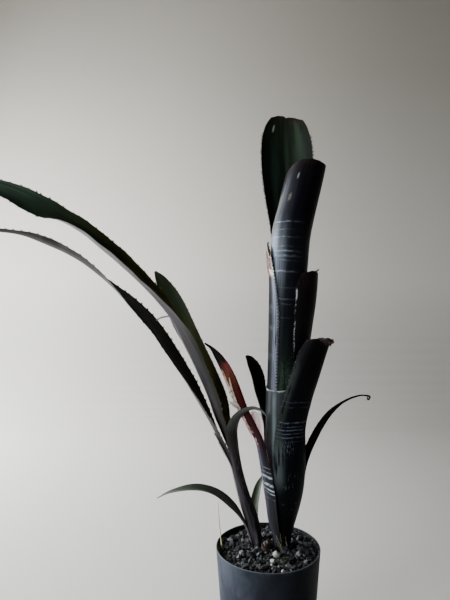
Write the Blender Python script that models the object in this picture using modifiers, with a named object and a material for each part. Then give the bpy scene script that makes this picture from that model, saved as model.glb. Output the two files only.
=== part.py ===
"""Potted billbergia: two leaf tubes, a tall one and a leaning offshoot, in a round nursery pot.

Metres, +Z up. The origin is the middle of the pot's underside and the front of the plant faces -Y.
Sizes below are in millimetres and become metres through MM.
"""

from math import cos, pi, radians, sin

import bmesh
import bpy
import numpy as np
from mathutils import Matrix, Vector

MM = 0.001

# Pot: a plain tapered tub with a thin rim.
POT_RIM_RADIUS = 52.5
POT_HEIGHT = 110.0
POT_TAPER = 0.075
POT_WALL = 1.2
POT_FLOOR = 2.0
POT_SIDES = 48
DRAIN_HOLES = 6
DRAIN_RADIUS = 4.0
DRAIN_CIRCLE = 29.0

# Potting mix: a plug with a rough top and bark and stone chips standing out of it.
SOIL_LEVEL = 104.0
SOIL_ROUGHNESS = 1.1
SOIL_SIDES = 30
CHIP_COUNT = 38
HOLE_FLOOR = 88.0

# Fit and leaf thickness.
GAP = 0.3
LEAF_THICKNESS = 0.6
LEAF_FOOT = HOLE_FLOOR + GAP
SHEATH_ROWS = (104, 114, 124, 135, 147, 161, 178, 200, 226, 254, 284, 314, 346)
ROW_IN_BLADE = 15.0
TOOTH_LENGTH = 0.9
TOOTH_TIP = 1.5
TOOTH_BASE = 2.0

# The tall shoot: the line through the middle of its tube, and the radius of its outer sheaths, which
# are layer 5. Each layer further in is one step smaller.
OUTER_LAYER = 5
TALL_AXIS = [
    (15.6, 12, 80), (15.8, 12, 104), (16.8, 12.8, 118), (18, 14.2, 139), (18.7, 15.4, 160), (19, 16, 185),
    (18.8, 16, 222), (18.7, 16, 254), (20.3, 16, 300), (22, 16, 358), (24, 16.5, 405), (25.5, 17, 440),
]
TALL_OUTER = [
    (80, 7.2), (104, 7.4), (112, 8.2), (120, 9.8), (128, 12.0), (139, 14.8), (149, 17.4), (160, 19.6),
    (172, 21.2), (188, 22.2), (222, 22.2), (254, 21.8), (300, 22.2), (358, 23.0), (410, 24.2), (440, 24.4),
]
TALL_STEP = 1.2
TALL_STEM_RADIUS = 2.7

# The offshoot: the same for its thin leaning tube.
YOUNG_AXIS = [
    (-9, 16, 80), (-9.5, 16, 100), (-11.5, 17, 112), (-15.5, 18, 128), (-22.5, 18, 149),
    (-29, 18, 172), (-35, 17, 200), (-40, 16, 223), (-46, 15, 245),
]
YOUNG_OUTER = [
    (80, 6.2), (104, 6.4), (112, 7.2), (120, 8.2), (128, 8.8), (149, 8.4), (172, 7.4), (200, 8.2), (245, 8.6),
]
YOUNG_STEP = 1.0
YOUNG_STEM_RADIUS = 1.6

STUMP_CENTRE = (-1.0, 1.5)
STRAW_ROUTE = [(-46, 4, 97), (-46.5, 4, 106), (-48, 2, 120), (-49.6, -0.5, 138), (-50.4, -2.5, 154.5)]
STRAW_RADIUS = 0.35

# Leaves. "side" is the compass direction of the midrib round its tube, 0 to the right and -90 to the
# front. "sheath" lists (height, half of the angle that it wraps). "blade" lists (x, y, z, half width,
# half of the angle of its channel, twist). "end" lists (place across, millimetres cut off there).
TALL_LEAVES = {
    "tall_leaf_back": dict(
        side=86, layer=-0.3, columns=10, colour="leaf_green",
        sheath=[(121, 100), (180, 100), (300, 100), (385, 98)],
        blade=[
            (24, 34, 412, 23.2, 80, 0), (24.5, 37, 430, 22.6, 62, 0), (25, 40, 452, 25, 50, 0),
            (24.6, 42, 480, 28.2, 42, 0), (23.9, 43, 512, 29.8, 38, 0), (23.3, 44.5, 538, 26.8, 34, 0),
            (23.3, 46, 553, 21, 30, 0), (23.3, 46.5, 562, 14.2, 28, 0),
        ],
        end=[(-1, 3), (-0.6, 0), (-0.1, 0.4), (0.05, 2.6), (0.2, 1.8), (0.6, 3), (1, 7)],
    ),
    "tall_leaf_front": dict(
        side=-88, layer=1, columns=12, colour="leaf_silvered",
        sheath=[(113, 118), (180, 118), (300, 118), (395, 106)],
        blade=[
            (26.7, -3.5, 429, 33.5, 96, 0), (32.7, -2.5, 455, 31.3, 92, 0), (39, -2, 481, 29.8, 88, 0),
            (45.3, -1, 502.5, 25.3, 82, 0),
        ],
        end=[(-1, 0), (-0.3, 0.5), (0, 1.5), (0.35, 3.5), (0.7, 9.5), (1, 18)],
    ),
    "tall_leaf_left": dict(
        side=180, layer=2, columns=7, colour="leaf_silvered",
        sheath=[(88, 57), (180, 57), (345, 57), (358, 53), (373, 44)],
        blade=[(2.4, 16, 398, 10, 30, 0), (1.8, 16, 410, 6.4, 22, 0), (1.8, 16, 419, 3, 14, 0)],
        end=[(-1, 6), (0, 0), (0.5, 4), (1, 10)],
    ),
    "tall_leaf_right": dict(
        side=-5, layer=2, columns=10, colour="leaf_dark",
        sheath=[(88, 56), (180, 52), (225, 48)],
        blade=[
            (38.7, 16, 250, 17, 51, 0), (41, 16, 278, 24, 69, 0), (44.9, 16, 311, 29.2, 82, 0),
            (48, 15.5, 333, 32, 88, 0), (51.5, 15, 358, 34, 94, 0), (53, 15, 375, 33.4, 94, 0),
            (53.6, 15, 388, 27, 82, 0),
        ],
        end=[(-1, 6), (-0.3, 0), (0.2, 2), (0.6, 0), (1, 3)],
    ),
    "tall_leaf_collar": dict(
        side=-142, layer=2.95, columns=8, colour="leaf_silvered",
        sheath=[(88, 70), (180, 70), (270, 70)],
        blade=[],
        end=[(-1, 1), (-0.5, 3), (0, 4), (0.6, 3), (1, 0)],
    ),
    "tall_leaf_front_right": dict(
        side=-55, layer=4.25, columns=9, colour="leaf_dark",
        sheath=[(88, 72), (120, 69), (160, 69), (190, 77), (223, 68)],
        blade=[
            (37.1, -4.7, 254, 23.7, 68, 0), (46, -9.5, 284, 24, 76, 0), (52.5, -10, 304, 23, 80, 0),
            (56.5, -10.5, 315, 18, 72, 0), (59, -10.5, 321, 11, 55, 0),
        ],
        end=[(-1, 4), (-0.6, 0), (0, 0), (0.5, 3), (1, 9)],
    ),
    "tall_leaf_left_short": dict(
        side=150, layer=4, columns=5, colour="leaf_dark",
        sheath=[(88, 40), (160, 34), (212, 32)],
        blade=[
            (-3.5, 28, 240, 10.5, 42, 0), (-7.4, 29.5, 262, 9.2, 38, -18), (-10, 31, 279, 8.4, 34, -30),
            (-14.2, 32, 289.5, 6.8, 30, -32), (-18, 33, 295.5, 4, 26, -32), (-21, 33.5, 298, 1.4, 20, -30),
        ],
        end=[],
    ),
    "tall_leaf_right_narrow": dict(
        side=24, layer=5, columns=4, colour="leaf_dark",
        sheath=[(88, 34), (130, 30), (176, 20)],
        blade=[
            (44.5, 22, 195, 6.8, 46, 0), (51, 20.5, 210.5, 6.6, 54, 0), (59, 19, 226.5, 5.8, 56, 0),
            (69, 17, 241.5, 3.8, 48, 0), (79.5, 15, 251.5, 1.7, 36, 0), (90.5, 13, 257.5, 1.2, 30, 0),
            (100.5, 12, 259.5, 0.9, 20, 0), (106.5, 12, 257.5, 1.4, 20, 0), (105, 12, 254.5, 0.8, 20, 0),
        ],
        end=[],
    ),
    "tall_leaf_red": dict(
        side=-140, layer=6, columns=5, colour="leaf_red",
        sheath=[(88, 34), (112, 33)],
        blade=[
            (5.6, 4.8, 125, 7, 32, 0), (3.4, 3.4, 140, 7.6, 30, 0), (1, 2, 158, 7.6, 30, 4),
            (-1.6, 0.5, 176.5, 6.8, 32, 10), (-5, -1, 197.5, 5.4, 34, 20), (-10, 0, 218, 4.6, 34, 30),
            (-15.5, 1, 229, 4.6, 32, 35), (-26, 3, 248, 5.6, 30, 40), (-32.5, 4, 263, 6.4, 30, 40),
            (-38.5, 5, 278.5, 6.2, 30, 40), (-45.2, 6, 292, 5.4, 30, 35), (-51.8, 6.5, 302, 4, 30, 30),
            (-58, 7, 309.5, 1.8, 24, 20), (-64.5, 8, 314, 1.1, 22, 10),
        ],
        end=[],
    ),
    "tall_leaf_withered": dict(
        side=-160, layer=5, columns=4, colour="leaf_withered",
        sheath=[(88, 24), (130, 24), (192, 18)],
        blade=[
            (-5, 8.5, 212, 6.4, 34, -26), (-9.5, 8.5, 230, 7.2, 34, -60), (-14.5, 8.5, 245, 6.4, 28, -70),
        ],
        end=[(-1, 4), (-0.3, 0), (0.3, 3), (1, 7)],
    ),
}

YOUNG_LEAVES = {
    "young_leaf_broad": dict(
        side=105, layer=0, columns=5, colour="leaf_green",
        sheath=[(113, 70), (150, 64), (215, 60)],
        blade=[
            (-48.6, 24, 252, 8.4, 50, 0), (-60, 29, 279, 8.8, 44, 0), (-74.8, 32, 306, 10.2, 40, 0),
            (-88.8, 34, 332, 11.8, 38, 0), (-98.5, 35, 353, 11.2, 34, 0), (-109, 36, 373, 8.2, 28, 0),
            (-115, 36, 383, 5, 22, 0), (-119.5, 36, 389.5, 1.2, 18, 0),
        ],
        end=[],
    ),
    "young_leaf_upper": dict(
        side=205, layer=1, columns=7, colour="leaf_green",
        sheath=[(104, 74), (150, 70), (200, 68)],
        blade=[
            (-47.5, 12, 223.5, 9, 64, 0), (-54, 10, 240, 11, 58, 0), (-58.8, 8, 255.5, 12.6, 56, 0),
            (-67.2, 7, 276, 14, 54, 0), (-76.8, 6, 297, 15.4, 54, 0), (-87.2, 4, 317.5, 17.2, 54, -4),
            (-98, 2, 338, 17.4, 54, -18), (-111, 0, 356, 16.6, 54, -30), (-126, -2, 373, 16, 56, -36),
            (-145.5, -5, 392, 16.2, 60, -40), (-165, -8, 409.2, 16.8, 60, -41),
            (-186.5, -11, 427, 16.4, 52, -42), (-205, -14, 438.5, 15.4, 40, -50),
            (-219, -16, 445.5, 15.4, 30, -66), (-233, -18, 452.5, 14.6, 28, -70),
            (-251, -19, 461.5, 13.4, 28, -66), (-270, -21, 468, 12, 26, -62),
            (-295, -23, 472.5, 10.4, 26, -54), (-322, -25, 475, 7.8, 26, -42), (-350, -26, 471, 4.6, 24, -30),
            (-372, -27, 464, 1.4, 24, -24),
        ],
        end=[],
    ),
    "young_leaf_lower": dict(
        side=196, layer=2, columns=5, colour="leaf_purple",
        sheath=[(88, 58), (150, 56), (184, 50)],
        blade=[
            (-43.4, 15, 200, 6.2, 52, 0), (-51, 12.5, 215, 7.8, 54, -4), (-58, 10, 230, 9.2, 56, -14),
            (-67.6, 9, 248, 10, 56, -26), (-77.8, 8, 267, 10.2, 54, -36), (-87.2, 7, 283.5, 10.4, 52, -42),
            (-97.4, 6, 299.5, 10.6, 50, -46), (-107.2, 5, 314.5, 10.6, 50, -48),
            (-117.4, 4, 330, 10.4, 48, -48), (-127.8, 2, 342, 10.4, 46, -46), (-138.8, 1, 353.2, 10, 44, -38),
            (-154.5, -1, 369, 9.4, 40, -18), (-169.5, -3, 382.5, 8.8, 40, -2),
            (-188.5, -5, 397.5, 8.8, 38, 6), (-208, -7, 409, 9.2, 36, 12), (-228, -8, 417.5, 8.6, 34, 12),
            (-247, -10, 423.5, 6.2, 40, 2), (-266, -11, 426, 5.8, 42, -4), (-290, -12, 426, 5, 36, -4),
            (-314, -13, 421, 2.8, 28, 0), (-331, -14, 414.5, 0.7, 15, 0),
        ],
        end=[],
    ),
    "young_leaf_stub": dict(
        side=175, layer=3, columns=4, colour="leaf_purple",
        sheath=[(88, 45), (140, 45), (182, 42)],
        blade=[(-45.2, 16.6, 200, 6.2, 40, 0), (-51.8, 14.6, 213, 6.4, 38, 0), (-55.5, 13.5, 221, 4.8, 30, 0)],
        end=[(-1, 3), (-0.2, 0), (0.3, 2), (1, 5)],
    ),
    "young_leaf_recurved": dict(
        side=-74, layer=4, columns=6, colour="leaf_purple",
        sheath=[(88, 56), (140, 54), (178, 50), (190, 44)],
        blade=[
            (-34.8, 7, 212, 6.7, 52, 0), (-35.6, 4.5, 224, 6.9, 50, 0), (-33.6, 1.5, 234, 6, 44, 0),
            (-28.5, -2, 242.5, 4.6, 38, 0), (-22, -5, 247.8, 3.5, 34, 0), (-15, -7, 250, 2.9, 30, 0),
            (-9, -8.5, 248.8, 2.2, 28, 0), (-4, -9.5, 245, 1.3, 24, 0), (-1, -10, 241.5, 0.6, 15, 0),
        ],
        end=[],
    ),
    "young_leaf_green": dict(
        side=64, layer=4, columns=4, colour="leaf_green",
        sheath=[(88, 34), (100, 34), (112, 32)],
        blade=[
            (-11.4, 25.5, 122, 4.6, 30, 0), (-12, 27.5, 136, 4.8, 26, 0), (-10, 29, 150, 4.4, 24, 0),
            (-6.5, 30, 162, 3, 20, 0), (-2, 31, 171, 0.7, 12, 0),
        ],
        end=[],
    ),
    "young_leaf_low": dict(
        side=184, layer=5, columns=5, colour="leaf_green",
        sheath=[(88, 34), (100, 34), (114, 36)],
        blade=[
            (-24.5, 15.5, 126, 6.4, 44, 0), (-30, 12.8, 135.8, 6.6, 42, -10),
            (-37, 10.2, 145.8, 6.4, 40, -22), (-46, 7.6, 155.2, 5.8, 38, -26), (-56, 5.6, 162, 5.4, 36, -22),
            (-67, 4, 165.8, 5.2, 34, -16), (-78, 2.5, 167, 4.8, 30, -14), (-89, 1, 166, 4, 28, -8),
            (-100, 0, 163.5, 2.6, 24, 0), (-112, -1, 158, 0.7, 12, 0),
        ],
        end=[],
    ),
}

# Colour, roughness and metallic value of each material.
MATERIALS = {
    "pot_plastic": ((0.055, 0.066, 0.078), 0.5, 0.0),
    "potting_mix": ((0.03, 0.026, 0.024), 0.9, 0.0),
    "stem_tissue": ((0.32, 0.3, 0.2), 0.7, 0.0),
    "stump_bark": ((0.11, 0.045, 0.03), 0.75, 0.0),
    "straw": ((0.6, 0.5, 0.28), 0.7, 0.0),
    "leaf_green": ((0.035, 0.06, 0.032), 0.5, 0.0),
    "leaf_silvered": ((0.06, 0.075, 0.085), 0.5, 0.0),
    "leaf_dark": ((0.03, 0.03, 0.04), 0.5, 0.0),
    "leaf_purple": ((0.09, 0.065, 0.075), 0.5, 0.0),
    "leaf_red": ((0.2, 0.04, 0.03), 0.6, 0.0),
    "leaf_withered": ((0.45, 0.33, 0.3), 0.7, 0.0),
}


def clear_scene():
    for thing in list(bpy.data.objects):
        bpy.data.objects.remove(thing)


def new_collection(name):
    collection = bpy.data.collections.new(name)
    bpy.context.scene.collection.children.link(collection)
    return collection


def material(name):
    if name in bpy.data.materials:
        return bpy.data.materials[name]
    colour, roughness, metallic = MATERIALS[name]
    made = bpy.data.materials.new(name)
    made.use_nodes = True
    shader = made.node_tree.nodes["Principled BSDF"]
    shader.inputs["Base Color"].default_value = (*colour, 1)
    shader.inputs["Roughness"].default_value = roughness
    shader.inputs["Metallic"].default_value = metallic
    return made


def object_from(bm, name, collection, material_name=None):
    mesh = bpy.data.meshes.new(name)
    bmesh.ops.recalc_face_normals(bm, faces=bm.faces)
    bm.to_mesh(mesh)
    bm.free()
    mesh.shade_smooth()
    made = bpy.data.objects.new(name, mesh)
    collection.objects.link(made)
    if material_name:
        mesh.materials.append(material(material_name))
        mesh.set_sharp_from_angle(angle=radians(40))
    return made


def hide_helper(thing):
    thing.hide_render = True
    thing.display_type = "WIRE"


def apply_modifiers(thing):
    """Replaces an object's mesh by what its modifiers make of it."""
    bpy.context.view_layer.update()
    evaluated = thing.evaluated_get(bpy.context.evaluated_depsgraph_get())
    mesh = bpy.data.meshes.new_from_object(evaluated)
    thing.modifiers.clear()
    thing.data = mesh


def smooth_through(knots, values, at):
    """Cubic curve through values at unevenly spaced knots, with slopes from the neighbours."""
    knots = np.asarray(knots, float)
    values = np.asarray(values, float)
    if len(knots) == 2:
        share = ((at - knots[0]) / (knots[1] - knots[0]))[:, None]
        return values[0] + share * (values[1] - values[0])
    widths = np.diff(knots)
    rises = np.diff(values, axis=0) / widths[:, None]
    slopes = np.empty_like(values)
    before, after = widths[:-1, None], widths[1:, None]
    slopes[1:-1] = (after * rises[:-1] + before * rises[1:]) / (before + after)
    slopes[0] = rises[0]
    slopes[-1] = rises[-1]
    cell = np.clip(np.searchsorted(knots, at, side="right") - 1, 0, len(widths) - 1)
    wide = widths[cell]
    t = (at - knots[cell]) / wide
    t, wide = t[:, None], wide[:, None]
    return (
        (2 * t**3 - 3 * t**2 + 1) * values[cell]
        + (t**3 - 2 * t**2 + t) * wide * slopes[cell]
        + (3 * t**2 - 2 * t**3) * values[cell + 1]
        + (t**3 - t**2) * wide * slopes[cell + 1]
    )


def along(table, heights):
    """Values of a table whose height column is given first, at each height."""
    rows = np.asarray(table, float)
    return smooth_through(rows[:, 0], rows[:, 1:], np.asarray(heights, float))


def axis_at(axis, heights):
    points = np.asarray(axis, float)
    return smooth_through(points[:, 2], points, np.asarray(heights, float))


def leaf_knots(plan, axis, outer, step):
    """Stations of a leaf from foot to tip: x, y, z, half width, half channel angle, twist."""
    low, high = max(plan["sheath"][0][0], LEAF_FOOT), plan["sheath"][-1][0]
    between = [height for height in SHEATH_ROWS if low + 3 < height < high - 3]
    heights = np.array([low, *between, high], float)
    radius = along(outer, heights)[:, 0] - step * (OUTER_LAYER - plan["layer"])
    wrap = np.interp(heights, *np.transpose(plan["sheath"]))
    side = radians(plan["side"])
    stations = axis_at(axis, heights)
    stations[:, 0] += radius * cos(side)
    stations[:, 1] += radius * sin(side)
    width = radius * np.radians(wrap)
    sheath = np.column_stack([stations, width, wrap, np.zeros(len(heights))])
    return np.vstack([sheath, np.array(plan["blade"], float).reshape(-1, 6)]), len(heights)


def unit(vectors):
    return vectors / np.linalg.norm(vectors, axis=-1, keepdims=True)


def leaf_surface(plan, axis, outer, step):
    """Function (across, place) to points of a leaf's middle surface, and the places of its rows."""
    knots, sheath_count = leaf_knots(plan, axis, outer, step)
    chords = np.linalg.norm(np.diff(knots[:, :3], axis=0), axis=1)
    places = np.concatenate([[0], np.cumsum(chords)])
    length = places[-1]
    fine = np.linspace(0, length, 500)
    line = smooth_through(places, knots, fine)
    tangents = unit(np.gradient(line[:, :3], axis=0))
    side = radians(plan["side"])
    inward = np.array([-cos(side), -sin(side), 0.0])
    inwards = np.empty_like(tangents)
    for i, tangent in enumerate(tangents):
        inward = unit(inward - tangent * inward.dot(tangent))
        inwards[i] = inward
    across = np.cross(tangents, inwards)
    twist = np.radians(line[:, 5])[:, None]
    turned = inwards * np.cos(twist) + across * np.sin(twist)
    across = np.cross(tangents, turned)
    cut = plan["end"] or [(-1, 0), (1, 0)]

    def point(u, place):
        place = place * (1 - np.interp(u, *np.transpose(cut)) / length)
        centre, inside, sideways = (
            np.array([np.interp(place, fine, column) for column in rows.T])
            for rows in (line, turned, across)
        )
        half = max(centre[3], 0.5)
        angle = radians(max(centre[4], 4))
        reach = half / angle
        return (
            centre[:3]
            + sideways * reach * sin(u * angle)
            + inside * reach * (1 - cos(u * angle))
        )

    low = places[:sheath_count]
    high_rows = round((length - low[-1]) / ROW_IN_BLADE)
    high = np.linspace(low[-1], length, high_rows + 1)[1:]
    return point, np.concatenate([low, high]), sheath_count - 1


def add_tooth_corners(edge):
    """Puts a tooth's tip and upper corner on a margin edge, joined to the inner corner level with its foot."""
    low, high = sorted(edge.verts, key=lambda end: end.co.y)
    inner = [end for end in edge.link_faces[0].verts if end is not low and end.co.y < low.co.y + 1e-6][0]
    upper_edge, tip = bmesh.utils.edge_split(edge, low, 1 / 3)
    if high not in upper_edge.verts:
        upper_edge = edge
    _, corner = bmesh.utils.edge_split(upper_edge, tip, 1 / 2)
    for end in (tip, corner):
        face = [face for face in end.link_faces if inner in face.verts][0]
        bmesh.utils.face_split(face, inner, end)


def make_leaf(name, plan, axis, outer, step, collection):
    point, places, low_rows = leaf_surface(plan, axis, outer, step)
    rows = len(places) - 1
    columns = plan["columns"]
    bm = bmesh.new()
    bmesh.ops.create_grid(bm, x_segments=columns, y_segments=rows, size=0.5)
    first_toothed = max(low_rows - 2, 1)
    margins = [
        edge
        for edge in bm.edges
        if all(abs(abs(end.co.x) - 0.5) < 1e-4 for end in edge.verts)
        and min(end.co.y for end in edge.verts) + 0.5 > (first_toothed - 0.5) / rows
        and max(end.co.y for end in edge.verts) + 0.5 < (rows - 0.5) / rows
    ]
    for edge in margins:
        add_tooth_corners(edge)
    bmesh.ops.triangulate(bm, faces=bm.faces)
    for vertex in bm.verts:
        u = 2 * vertex.co.x
        row = (vertex.co.y + 0.5) * rows
        part = row - np.floor(row + 1e-4)
        place = places[int(row + 1e-4)]
        if part > 0.5:
            spot = point(u, place + TOOTH_BASE)
        elif part > 0.1:
            spot = point(u, place + TOOTH_TIP)
            spot = spot + unit(spot - point(u * 0.97, place + TOOTH_TIP)) * TOOTH_LENGTH
        else:
            spot = point(u, place)
        vertex.co = Vector(spot) * MM
    made = object_from(bm, name, collection, plan["colour"])
    shell = made.modifiers.new("thickness", "SOLIDIFY")
    shell.thickness = LEAF_THICKNESS * MM
    shell.offset = 0
    return made


def turned(name, profile, sides, collection, material_name=None):
    """Turns a profile of (radius, height) round the Z axis."""
    mesh = bpy.data.meshes.new(name)
    points = [(radius * MM, 0, height * MM) for radius, height in profile]
    edges = [(i, i + 1) for i in range(len(points) - 1)]
    mesh.from_pydata(points, edges, [])
    made = bpy.data.objects.new(name, mesh)
    collection.objects.link(made)
    screw = made.modifiers.new("turn", "SCREW")
    screw.steps = sides
    screw.render_steps = sides
    screw.use_merge_vertices = True
    screw.merge_threshold = 0.00001
    screw.use_smooth_shade = True
    if material_name:
        mesh.materials.append(material(material_name))
    return made


def round_cutter(name, centre, radius, low, high, collection, sides=32):
    bm = bmesh.new()
    bmesh.ops.create_cone(
        bm, cap_ends=True, segments=sides, radius1=radius * MM, radius2=radius * MM, depth=(high - low) * MM
    )
    place = Matrix.Translation(Vector((centre[0], centre[1], (low + high) / 2)) * MM)
    bmesh.ops.transform(bm, matrix=place, verts=bm.verts)
    cutter = object_from(bm, name, collection)
    hide_helper(cutter)
    return cutter


def cut_away(thing, cutters):
    """Cuts a collection's shapes out of an object, and removes them."""
    boolean = thing.modifiers.new("holes", "BOOLEAN")
    boolean.operation = "DIFFERENCE"
    boolean.operand_type = "COLLECTION"
    boolean.collection = cutters
    boolean.solver = "EXACT"
    apply_modifiers(thing)
    for cutter in list(cutters.objects):
        bpy.data.objects.remove(cutter)


def pot_radius(height):
    return POT_RIM_RADIUS - POT_TAPER * (POT_HEIGHT - height)


def make_pot(parts, cutters):
    outer_foot = pot_radius(0)
    inner_foot = pot_radius(POT_FLOOR) - POT_WALL
    pot = turned(
        "pot",
        [
            (0, POT_FLOOR),
            (inner_foot - 1.5, POT_FLOOR),
            (inner_foot, POT_FLOOR + 1.5),
            (POT_RIM_RADIUS - POT_WALL, POT_HEIGHT - 0.4),
            (POT_RIM_RADIUS - POT_WALL + 0.4, POT_HEIGHT),
            (POT_RIM_RADIUS - 0.4, POT_HEIGHT),
            (POT_RIM_RADIUS, POT_HEIGHT - 0.4),
            (outer_foot + 0.1, 1.4),
            (outer_foot - 1.4, 0),
            (0, 0),
        ],
        POT_SIDES,
        parts,
        "pot_plastic",
    )
    for i in range(DRAIN_HOLES):
        angle = 2 * pi * (i + 0.5) / DRAIN_HOLES
        centre = (DRAIN_CIRCLE * cos(angle), DRAIN_CIRCLE * sin(angle))
        round_cutter(f"drain_{i}", centre, DRAIN_RADIUS, -1, POT_FLOOR + 1, cutters, 16)
    cut_away(pot, cutters)
    return pot


def soil_radius(height):
    return pot_radius(height) - POT_WALL - GAP


def soil_plug(draw, parts):
    """The plug of potting mix, its top raised and sunk a little at each point."""
    foot = POT_FLOOR + GAP
    low_radius = soil_radius(foot) - 2.0
    profile = [(0, foot), (low_radius, foot), (soil_radius(foot + 2), foot + 2)]
    rim = soil_radius(SOIL_LEVEL) - 0.2
    profile += [(rim * share, SOIL_LEVEL) for share in (1, 0.9, 0.79, 0.67, 0.55, 0.42, 0.28, 0.14, 0)]
    profile.reverse()
    soil = turned("soil", profile, SOIL_SIDES, parts, "potting_mix")
    apply_modifiers(soil)
    for vertex in soil.data.vertices:
        if vertex.co.z > (SOIL_LEVEL - 0.1) * MM:
            out = Vector(vertex.co[:2]).length / (rim * MM)
            swing = SOIL_ROUGHNESS * (0.4 if out > 0.95 else 1.0)
            vertex.co.z += draw.uniform(-swing, swing) * MM
    return soil


def chip(draw, place, size, collection):
    bm = bmesh.new()
    bmesh.ops.create_cube(bm, size=1.5 * size * MM)
    for vertex in bm.verts:
        vertex.co *= draw.uniform(0.75, 1.15)
    turn = Matrix.Rotation(draw.uniform(0, 2 * pi), 4, "Z") @ Matrix.Rotation(draw.uniform(-0.6, 0.6), 4, "X")
    flat = Matrix.Diagonal((draw.uniform(0.8, 1.3), draw.uniform(0.7, 1.0), draw.uniform(0.55, 0.8), 1))
    bmesh.ops.transform(bm, matrix=Matrix.Translation(Vector(place) * MM) @ turn @ flat, verts=bm.verts)
    object_from(bm, "chip", collection)


def make_soil(parts, cutters):
    draw = np.random.default_rng(7)
    soil = soil_plug(draw, parts)
    holes = {
        "tall_hole": (TALL_AXIS[1], TALL_OUTER[1][1] + TALL_STEP + 0.8, HOLE_FLOOR),
        "young_hole": ((-9.9, 16.3), YOUNG_OUTER[1][1] + 1.6, HOLE_FLOOR),
        "stump_hole": (STUMP_CENTRE, 5.9, 98),
        "straw_hole": (STRAW_ROUTE[0], STRAW_RADIUS + 0.45, STRAW_ROUTE[0][2] - GAP),
    }
    while len(cutters.objects) < CHIP_COUNT:
        size = draw.uniform(1.9, 3.6)
        out = (soil_radius(SOIL_LEVEL) - 1.6 * size - 0.8) * draw.uniform(0, 1) ** 0.5
        angle = draw.uniform(0, 2 * pi)
        spot = np.array([out * cos(angle), out * sin(angle), SOIL_LEVEL + draw.uniform(-0.4, 0.5)])
        clear = all(np.hypot(*(spot[:2] - np.array(at[:2]))) > wide + 0.6 * size for at, wide, _ in holes.values())
        if clear:
            chip(draw, spot, size, cutters)
    union = soil.modifiers.new("chips", "BOOLEAN")
    union.operation = "UNION"
    union.operand_type = "COLLECTION"
    union.collection = cutters
    union.solver = "MANIFOLD"
    apply_modifiers(soil)
    for made in list(cutters.objects):
        bpy.data.objects.remove(made)
    for name, (centre, radius, floor) in holes.items():
        round_cutter(name, centre, radius, floor, SOIL_LEVEL + 10, cutters, 24 if radius > 1 else 10)
    cut_away(soil, cutters)
    soil.data.materials.clear()
    soil.data.materials.append(material("potting_mix"))
    return soil


def make_stem(name, axis, radius, top, parts):
    """The short stem inside a tube, which its leaves are set round."""
    heights = np.linspace(LEAF_FOOT, top, 7)
    return rod(name, axis_at(axis, heights), radius, "stem_tissue", parts, 2)


def make_stump(parts):
    stump = turned(
        "runner_stump",
        [
            (0, 114), (1.6, 113.7), (3.2, 112.6), (4.4, 110.6), (5.2, 107.8),
            (5.5, 104.5), (5.3, 101), (4.6, 98.6), (3.2, 98.3), (0, 98.3),
        ],
        18,
        parts,
        "stump_bark",
    )
    stump.location = Vector((STUMP_CENTRE[0], STUMP_CENTRE[1], 0)) * MM
    return stump


def rod(name, points, radius, material_name, parts, roundness):
    """A thin round rod through points, with closed ends."""
    curve = bpy.data.curves.new(name, "CURVE")
    curve.dimensions = "3D"
    curve.bevel_depth = radius * MM
    curve.bevel_resolution = roundness
    curve.use_fill_caps = True
    spline = curve.splines.new("POLY")
    spline.points.add(len(points) - 1)
    for spot, place in zip(spline.points, points):
        spot.co = (*(np.array(place) * MM), 1)
    curve.materials.append(material(material_name))
    made = bpy.data.objects.new(name, curve)
    parts.objects.link(made)
    return made


def make_straw(parts):
    heights = np.linspace(STRAW_ROUTE[0][2], STRAW_ROUTE[-1][2], 10)
    return rod("dry_straw", axis_at(STRAW_ROUTE, heights), STRAW_RADIUS, "straw", parts, 1)


def main():
    clear_scene()
    parts = new_collection("potted_billbergia")
    cutters = new_collection("cutters")
    make_pot(parts, cutters)
    make_soil(parts, cutters)
    make_stump(parts)
    make_straw(parts)
    make_stem("tall_stem", TALL_AXIS, TALL_STEM_RADIUS, 124, parts)
    make_stem("young_stem", YOUNG_AXIS, YOUNG_STEM_RADIUS, 114, parts)
    for name, plan in TALL_LEAVES.items():
        make_leaf(name, plan, TALL_AXIS, TALL_OUTER, TALL_STEP, parts)
    for name, plan in YOUNG_LEAVES.items():
        make_leaf(name, plan, YOUNG_AXIS, YOUNG_OUTER, YOUNG_STEP, parts)


main()
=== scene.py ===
import bpy
import numpy as np
from math import cos, sin, pi, radians
from mathutils import Vector, Matrix


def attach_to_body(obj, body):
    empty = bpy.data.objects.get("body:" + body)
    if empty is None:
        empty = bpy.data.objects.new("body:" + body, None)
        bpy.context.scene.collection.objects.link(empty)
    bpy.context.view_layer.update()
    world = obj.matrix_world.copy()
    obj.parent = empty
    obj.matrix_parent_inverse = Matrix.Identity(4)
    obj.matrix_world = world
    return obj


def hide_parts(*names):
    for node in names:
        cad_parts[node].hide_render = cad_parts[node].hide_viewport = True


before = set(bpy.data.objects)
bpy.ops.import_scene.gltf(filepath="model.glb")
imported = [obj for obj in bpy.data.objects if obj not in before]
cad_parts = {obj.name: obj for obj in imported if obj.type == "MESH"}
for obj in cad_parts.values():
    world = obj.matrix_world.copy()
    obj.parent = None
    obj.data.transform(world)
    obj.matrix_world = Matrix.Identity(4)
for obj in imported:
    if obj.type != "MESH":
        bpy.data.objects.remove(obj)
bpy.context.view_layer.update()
print("frame loaded")

# the plant's shapes are worked out in millimetres, and the colours of its finishes in thousandths
mm = 0.001


# small helpers

def deselectAll():
    bpy.ops.object.select_all(action="DESELECT")


def pick(piece):
    deselectAll()
    piece.select_set(True)
    bpy.context.view_layer.objects.active = piece


def applyAll(piece):
    pick(piece)
    for modifier in list(piece.modifiers):
        bpy.ops.object.modifier_apply(modifier=modifier.name)


def joinInto(piece, others):
    pick(piece)
    for other in others:
        other.select_set(True)
    bpy.ops.object.join()


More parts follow.
